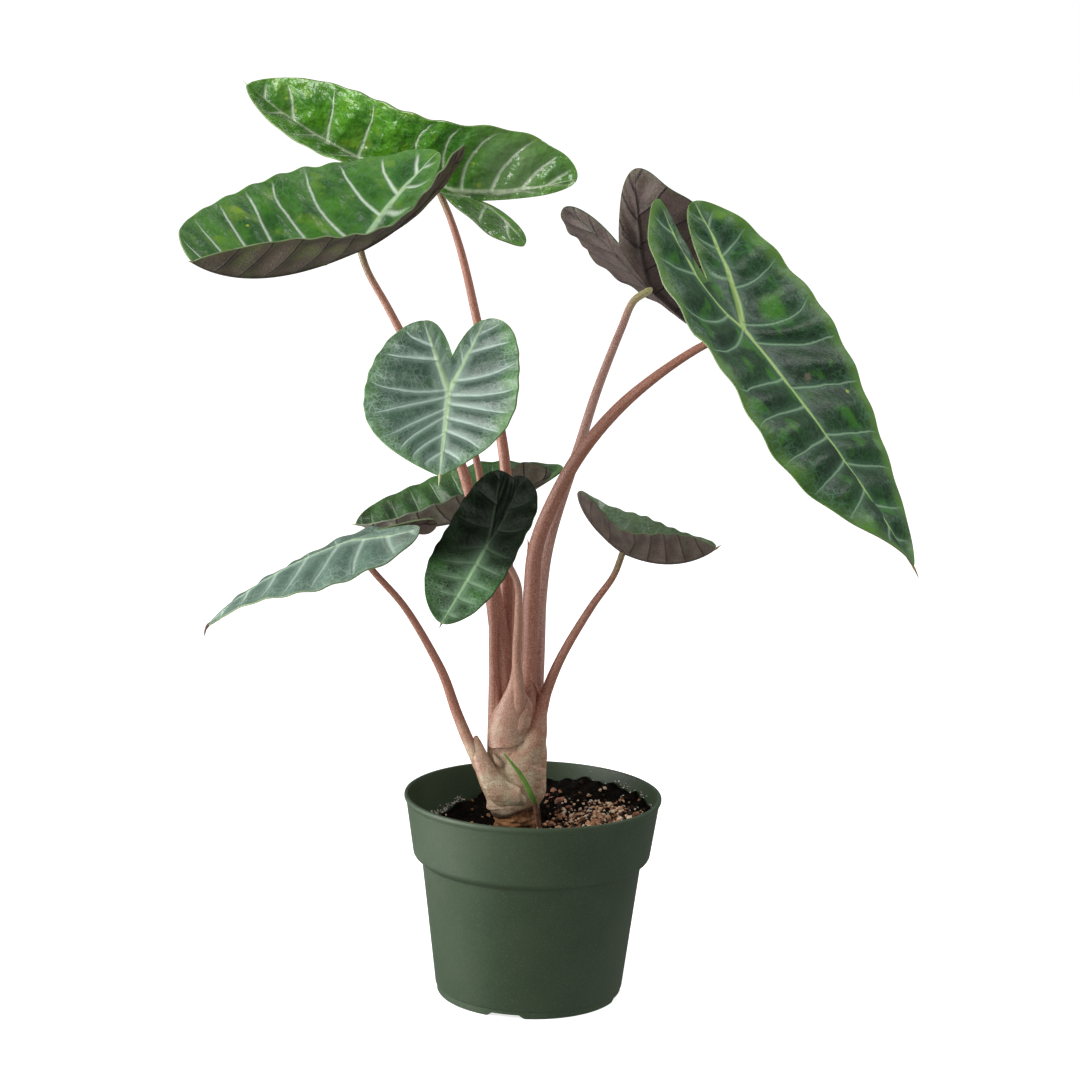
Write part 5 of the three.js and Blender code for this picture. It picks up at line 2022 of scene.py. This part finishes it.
DUSTY = LeafFinish(
    dark=srgb(66, 94, 80), middle=srgb(86, 114, 100), vein=srgb(160, 182, 166), silver=srgb(140, 162, 150),
    margin=srgb(114, 142, 110), spine=srgb(160, 186, 154), patch=srgb(78, 114, 78), silvering=0.68, halo=6,
    lateral=1.4, veining=0.55, netting=0.6, edging=0.3, patches=0.25, gloss=0.48, coat=0.0,
    puckers=0.25,
    marks=(Mark(582, 24, 16, srgb(100, 106, 94), 0.55), Mark(652, 26, 12, srgb(66, 92, 74), 0.5)),
)
MOSS = LeafFinish(
    dark=srgb(26, 58, 18), middle=srgb(52, 94, 34), vein=srgb(146, 176, 134), silver=srgb(98, 132, 98),
    margin=srgb(90, 128, 60), spine=srgb(138, 172, 116), patch=srgb(74, 124, 32), silvering=0.5, halo=5,
    lateral=0.85, patches=0.45, gloss=0.38, puckers=0.35, breadth=1.6,
)
PALE = LeafFinish(
    dark=srgb(72, 102, 66), middle=srgb(100, 128, 90), vein=srgb(170, 190, 160), silver=srgb(146, 170, 146),
    margin=srgb(120, 146, 96), spine=srgb(160, 184, 140), patch=srgb(92, 128, 60), silvering=0.6, halo=5,
    patches=0.3, gloss=0.4, puckers=0.35,
)

LEAVES = [
    Leaf(
        "high_back", at=(-68, 88, 494), azimuth=162, pitch=13, roll=-39, length=144, lobes=(74, 84),
        width=(53, 52), spread=(37, 30), sinus=28, bow=-0.7, full=(2.5, 2.5), sharp=0.74, tip_drop=-27,
        lobe_rise=0, sweep=-10, twist=-19, lobe_twist=3, fold=((14, 49, 47), (39, 72, 39)),
        curl=((0, -1, 6), (4, 20, 28)), veins=(6, 4), wave=1.0, quilt=1.6, phase=0, top=VIVID,
        under=BROWN_UNDER,
        laterals=(
            [(-0.75, -0.8), (-0.5, -0.56), (-0.25, -0.36), (-0.02, -0.16), (0.2, 0.08), (0.42, 0.34),
             (0.62, 0.6), (0.8, 0.82)],
            [(-0.8, -0.86), (-0.62, -0.7), (-0.4, -0.56), (-0.18, -0.43), (-0.06, -0.29), (0.13, -0.2),
             (0.4, 0.14), (0.56, 0.48), (0.74, 0.82), (0.9, 0.93)],
        ),
        point=(5.0, 0.8, -20.0), dry=PALE_TIP,
    ),
    Leaf(
        "high_left", at=(-110, -15, 464), azimuth=220, pitch=-19, roll=-27, length=142, lobes=(88, 88),
        width=(58, 67), spread=(36, 33), sinus=31, bow=0.4, full=(2.6, 2.6), sharp=0.58, tip_drop=-46,
        lobe_rise=28, sweep=3, twist=-22, lobe_twist=21, fold=((54, 48, 81), (8, 19, -10)),
        curl=((-6, 7, -3), (2, -5, 6)), veins=(6, 4), wave=1.0, quilt=1.5, phase=80, top=FRESH,
        under=MOSSY_UNDER,
        laterals=(
            [(-0.7, -0.75), (-0.45, -0.5), (-0.2, -0.3), (0.02, -0.12), (0.2, 0.06), (0.38, 0.25),
             (0.55, 0.48), (0.7, 0.68), (0.85, 0.87)],
            [(-0.76, -0.8), (-0.53, -0.6), (-0.3, -0.41), (0.0, -0.25), (0.19, -0.1), (0.4, 0.04),
             (0.52, 0.29), (0.64, 0.56), (0.79, 0.87)],
        ),
    ),
    Leaf(
        "round_front", at=(-55, -45, 383), azimuth=264, pitch=-59, roll=13, length=55, lobes=(42, 47),
        width=(52, 52), spread=(23, 20), sinus=23, bow=0, full=(2.4, 2.4), sharp=0.91, tip_drop=-5,
        lobe_rise=2, sweep=0, twist=-3, lobe_twist=4, fold=((11, 17, 13), (8, 8, 12)),
        curl=((14, 5, -15), (-15, -4, -4)), veins=(5, 3), wave=0.7, quilt=1.0, phase=30, top=SILVERED,
        under=BROWN_UNDER, cell=0.8, sinus_curve=0.42,
        laterals=(
            [(-0.78, -0.74), (-0.53, -0.46), (-0.14, -0.27), (0.05, -0.09), (0.15, 0.18), (0.32, 0.44),
             (0.47, 0.68), (0.7, 0.88)],
            [(-0.62, -0.78), (-0.44, -0.47), (-0.02, -0.24), (0.06, -0.02), (0.2, 0.43), (0.29, 0.68),
             (0.5, 0.82), (0.72, 0.92)],
        ),
        point=(5.5, 1.8, 10.0), dry=PALE_TIP,
    ),
    Leaf(
        "big_right", at=(118, -25, 422), azimuth=331, pitch=-45, roll=-2, length=175, lobes=(89, 89),
        width=(67, 68), spread=(33, 30), sinus=36, bow=1, full=(2.3, 3.2), sharp=0.85, tip_drop=8,
        lobe_rise=15, sweep=0, twist=-15, lobe_twist=-13, fold=((5, 23, 21), (18, 2, 15)),
        curl=((62, 2, -22), (-55, -3, -109)), veins=(6, 4), wave=0.9, quilt=1.8, phase=200, top=DEEP,
        under=BROWN_UNDER,
        laterals=(
            [(-0.78, -0.8), (-0.55, -0.6), (-0.3, -0.42), (-0.03, -0.24), (0.06, -0.1), (0.26, 0.08),
             (0.46, 0.33), (0.58, 0.52), (0.75, 0.72), (0.88, 0.88)],
            [(-0.75, -0.8), (-0.45, -0.55), (-0.12, -0.36), (0.0, -0.18), (0.22, -0.05), (0.34, 0.11),
             (0.47, 0.33), (0.57, 0.51), (0.69, 0.68), (0.84, 0.86)],
        ),
        point=(6.0, 1.6, 15.0),
    ),
    Leaf(
        "high_right", at=(65.7, 77, 436.7), azimuth=48.5, pitch=-31.9, roll=-15.2, length=141, lobes=(68, 85),
        width=(62, 62), spread=(42, 34), sinus=40, bow=-0.2, full=(2.5, 2.5), sharp=0.78, tip_drop=2,
        lobe_rise=54, sweep=-5, twist=-6.5, lobe_twist=21.9, fold=((8.3, 40.5, 54), (6, 43.4, 15)),
        curl=((-9, -16.2, -9.3), (14, 17.4, 0)), veins=(6, 4), wave=1.0, quilt=1.2, phase=140, top=MOSS,
        under=BROWN_UNDER, border=DULL_EDGE,
    ),
    Leaf(
        "dark_front", at=(-29, -60, 296), azimuth=233, pitch=-47, roll=-2, length=60, lobes=(44, 45),
        width=(30, 30), spread=(7, 9), sinus=42, bow=0.4, full=(2.4, 2.4), sharp=0.58, tip_drop=-2,
        lobe_rise=29, sweep=-4, twist=-9, lobe_twist=1, fold=((12, 15, 11), (8, 13, 23)),
        curl=((-12, 5, 3), (-1, -5, 4)), veins=(5, 3), wave=0.5, quilt=1.0, phase=250, top=NIGHT,
        under=BROWN_UNDER, cell=0.7, point=(2.5, 1.2, 30.0), border=DULL_EDGE,
    ),
    Leaf(
        "low_left", at=(-112, -38, 291), azimuth=171, pitch=-22, roll=-3, length=108, lobes=(46, 46),
        width=(47, 48), spread=(21, 21), sinus=16, bow=0.4, full=(2.1, 2.1), sharp=0.88, tip_drop=24,
        lobe_rise=9, sweep=-4, twist=-10, lobe_twist=7, fold=((-29, -14, -1), (-25, -12, -3)),
        curl=((6, -9, 22), (0, 16, -25)), veins=(5, 3), wave=0.8, quilt=1.0, phase=310, top=DUSTY,
        under=BROWN_UNDER, cell=0.95, point=(6.0, 2.2, 62.0), dry=DARK_TIP,
    ),
    Leaf(
        "mid_back", at=(-32, 74, 292), azimuth=184, pitch=-20, roll=-9, length=87, lobes=(46, 54),
        width=(40, 41), spread=(14, 16), sinus=18, bow=0.2, full=(2.5, 2.5), sharp=0.64, tip_drop=-31,
        lobe_rise=7, sweep=2, twist=-11, lobe_twist=8, fold=((39, 47, 31), (17, 25, 22)),
        curl=((38, -8, 23), (-8, 13, -11)), veins=(5, 3), wave=0.8, quilt=1.9, phase=20, top=MOSS,
        under=GREY_UNDER, cell=0.9, point=(3.0, 1.2, 10.0), dry=PALE_TIP, border=DULL_EDGE,
    ),
    Leaf(
        "low_right", at=(52, 5, 281), azimuth=336, pitch=-19, roll=-2, length=63, lobes=(50, 48),
        width=(30, 29), spread=(12, 12), sinus=10, bow=0.2, full=(2.5, 2.5), sharp=0.49, tip_drop=-56,
        lobe_rise=43, sweep=0, twist=-1, lobe_twist=-14, fold=((18, 43, 26), (32, 42, 54)),
        curl=((8, -6, 12), (16, -8, 5)), veins=(5, 3), wave=0.5, quilt=0.8, phase=120, top=PALE,
        under=PINK_UNDER, cell=0.8, point=(4.0, 1.6, 0.0),
    ),
]

STALKS = {stalk.name: stalk for stalk in (
    Stalk("high_back", [
        (-11, 20, 112, 12, 11), (-14, 20, 150, 11, 10), (-19.4, 19, 205, 10, 9), (-19.8, 19.5, 257, 9, 8),
        (-21, 22, 320, 7, 7), (-28, 34, 361, 6.6, 6.6), (-41, 56, 411, 5.6, 5.6), (-52.5, 75, 453.5, 5, 5),
        (-61, 84, 477, 4.4, 4.4),
    ]),
    Stalk("high_left", [
        (-15, 11, 112, 13, 11), (-17, 10, 150, 12, 12), (-20.8, 9, 205, 11, 13), (-29.6, 4, 262, 8.6, 10),
        (-48, -1, 331, 6.4, 6.4), (-70, -6, 382, 5.4, 5.4), (-93, -11.5, 427, 4.6, 4.6),
        (-106, -14, 450, 4.2, 4.2),
    ]),
    Stalk("round_front", [
        (-15.5, 6, 112, 9, 9), (-19, 5, 150, 7.5, 7.5), (-26, 4, 205, 6, 6), (-27, -3, 235, 5.4, 5.4),
        (-30, -13, 275, 5, 5), (-35, -26, 322, 4.6, 4.6), (-41, -35, 350, 4.2, 4.2),
        (-50, -39.5, 374, 3.8, 3.8),
    ], layers=[
        [(-24, 6.5, 122, 7, 8), (-25.2, 6, 150, 8, 8), (-25.5, 5.5, 175, 7.4, 7.4),
         (-25.9, 4.6, 197, 6.4, 6.4), (-26.4, 3.4, 212, 5.4, 5.4)],
    ]),
    Stalk("big_right", [
        (-6, 9.5, 112, 14, 13), (-5, 8, 150, 12, 12), (-4.6, 5.5, 212, 10.4, 10.2), (-4, 0.6, 254, 10.2, 10),
        (-1.5, -3.5, 284.5, 9.6, 9.4), (11.5, -9, 320, 8.8, 8.6), (25, -13, 345, 8, 8),
        (47, -18, 373, 7.2, 7.2), (74, -22, 397, 5.6, 5.6), (98, -24, 413, 4.8, 4.8),
    ], layers=[
        [(-8.8, 2.2, 217, 0.6, 0.6), (-5.5, 1.5, 208, 2.4, 1.6), (-1, 2.2, 198, 2.6, 1.8),
         (3, 4.6, 189, 0.8, 0.8)],
        [(-6, -4.2, 276, 0.5, 0.5), (-6.4, -4.6, 280, 1.7, 0.9), (-6.3, -4.3, 284, 1.4, 0.8),
         (-7, -4.6, 288.5, 0.3, 0.3)],
    ]),
    Stalk("high_right", [
        (-1, 19, 112, 11, 10), (0, 18, 150, 9, 9), (1.8, 17.5, 210, 7, 7), (2.4, 20.5, 250, 7, 7),
        (6.4, 29, 281, 7, 6.8), (24.2, 43, 341.2, 6.4, 6.4), (33.8, 53.5, 372.6, 5.8, 5.8),
        (48.5, 66.5, 411, 5, 5), (56, 72, 428, 4.8, 4.8),
    # Painted light: the neck's pale green is brighter than the stalk's own colour and stands for the light on
    # it.
    ], finish=StalkFinish(middle=srgb(202, 156, 142), neck=srgb(208, 216, 142), pale=srgb(222, 198, 182))),
    Stalk("dark_front", [
        (-13.5, 7, 112, 12, 10), (-15, 6.5, 158, 14, 12), (-14.5, 1.5, 171, 12, 9), (-10.5, -5, 186, 9, 6.5),
        (-12, -18, 217.5, 5.4, 5.2), (-11.4, -34, 249.5, 4.6, 4.4), (-12, -43, 267, 4.2, 4.2),
        (-19, -51.5, 283, 3.8, 3.8),
    ], layers=[
        [(-15.5, 7.5, 113, 20, 13), (-15.5, 7.5, 117, 26.5, 16), (-15.5, 7, 150, 26.8, 16.5),
         (-15.5, 6.5, 160, 24, 15)],
        [(-17, 5.5, 155.2, 21, 16), (-17, 5.5, 156.4, 24.5, 20), (-17.2, 5, 163, 24, 19),
         (-16.2, 3.5, 170, 24, 18), (-15.2, 1.6, 175.5, 22.4, 15.6), (-14, -0.9, 181, 19, 12),
         (-13.4, -3.2, 187, 15, 9), (-12.6, -5.8, 193, 11.2, 7.6), (-12, -8.6, 200, 8.4, 6.6),
         (-11.7, -12.4, 208, 6.4, 5.8), (-11.8, -16.4, 215, 5.2, 5)],
        [(-8.2, -5.4, 195, 1, 1), (-6.6, -4.2, 188, 5.5, 3.4), (-5.6, -2.8, 182.5, 8.6, 5),
         (-8.2, -1, 177, 13, 8), (-9, 0.5, 171, 13, 10), (-11, 1.5, 166, 9, 9)],
    ], hems=(3.0, 7.0, 0.0), finish=StalkFinish(middle=srgb(190, 142, 120), neck=srgb(160, 126, 92))),
    Stalk("low_left", [
        (-13, 6, 115, 12, 10), (-17, 5.5, 121, 20, 16), (-26, 3, 133, 16, 12), (-36.5, 1.5, 150, 10.5, 7.6),
        (-48, 1, 176, 7.2, 6.6), (-56, -4.5, 200, 5.8, 5.8), (-63, -9, 215.5, 5.2, 5.2),
        (-81, -20.5, 248, 4.4, 4.4), (-100, -31, 272, 4.0, 4.0),
    ], layers=[
        [(-13.5, 5, 113.2, 15, 13), (-14.5, 4.5, 115.5, 24, 20.5), (-14.8, 4.2, 120, 29.5, 21.5),
         (-17.5, 3.6, 125, 26.5, 20), (-21.5, 3, 130, 21, 17.5), (-26, 2.5, 136, 17.5, 14.5),
         (-32, 2, 145, 11.5, 10), (-37, 1.8, 153, 7, 7), (-40, 1.6, 160, 5, 5)],
        [(-36.2, 0, 163, 1.8, 0.8), (-35.6, -0.8, 159.5, 5, 2.4), (-34, -1.8, 154, 7.6, 3.6),
         (-30.6, -3.4, 145, 10.6, 5.4), (-26, -4.6, 136, 13.4, 7.4), (-20.2, -4.8, 129, 16.5, 9),
         (-13, -3.6, 124, 20, 9), (-6, -1, 121.5, 9, 7)],
        [(-25.4, -1.2, 152, 0.8, 0.6), (-23.6, -2.2, 149, 3, 1.6), (-21.4, -2.4, 146, 4.2, 1.8),
         (-19.8, -1.9, 143, 1, 0.8)],
    ], hems=(3.0, 0.0, 0.0)),
    Stalk("mid_back", [
        (-18, 17, 112, 9, 9), (-17, 21, 155, 7.5, 7.5), (-15.5, 34, 205, 7, 7), (-16.4, 50, 246, 6, 6),
        (-22, 61, 264, 5, 5), (-29.5, 68, 278, 4.2, 4.2),
    ]),
    Stalk("low_right", [
        (-3, 9, 114, 9, 9), (-1.5, 8.8, 124, 15, 17), (-0.5, 8.5, 150, 16, 18), (0.5, 8, 166, 14, 13),
        (6.5, 9.5, 188.5, 7, 7), (15.5, 9, 212, 5.8, 5.8), (33.5, 7, 245, 4.8, 4.8), (46.5, 5.6, 265, 4, 4),
    ], layers=[
        [(-9, 8, 115.5, 16, 13), (-8, 7.5, 119, 27, 20), (-7.4, 7.2, 125, 31, 21.5), (-8.5, 7, 140, 33, 21),
         (-7.5, 7, 147, 30, 20), (-4.5, 7, 152, 23, 18.5), (-1.8, 7, 158, 18.5, 16.5),
         (0.3, 7.3, 164, 15.5, 14.5), (1.8, 7.8, 172, 12, 12.5), (3.6, 8.5, 181, 8.4, 9.5),
         (6, 9.4, 189, 6.4, 6.8)],
    ], hems=(7.0,)),
)}

SHOOT = Shoot(
    stalk=[(4.6, 1.5, 90, 4, 3.4), (4.4, 1, 103, 3.4, 3), (2.6, -3.5, 114, 3, 2.4), (1.3, -9, 124.5, 2.6, 2)],
    blade=[(1.5, -8.6, 123, 2.6, 1.4), (-0.6, -11, 128, 3.6, 1.2), (-7, -12, 140.5, 3, 1.1),
           (-18.4, -12, 155, 0.9, 0.8)],
    scale=[(4.8, 1.4, 92, 3.2, 2.4), (4.6, 0, 106, 2.4, 1.6), (4, -5, 119, 0.9, 0.8)],
)


def main() -> None:
    """Build the studio and every piece of the plant, in order, and report each."""
    logging.basicConfig(level=logging.INFO, format="%(name)s %(message)s")
    Studio().build()
    pot = Pot()
    pot.build(POT_FINISH)
    soil = Soil(pot)
    soil.lump(PEAT)
    soil.dress()
    Rootstock().build(BARK)
    SHOOT.build()
    for leaf in LEAVES:
        leaf.build()
        STALKS[leaf.name].build(leaf)
    leave_edit()
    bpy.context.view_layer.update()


if __name__ == "__main__":
    main()
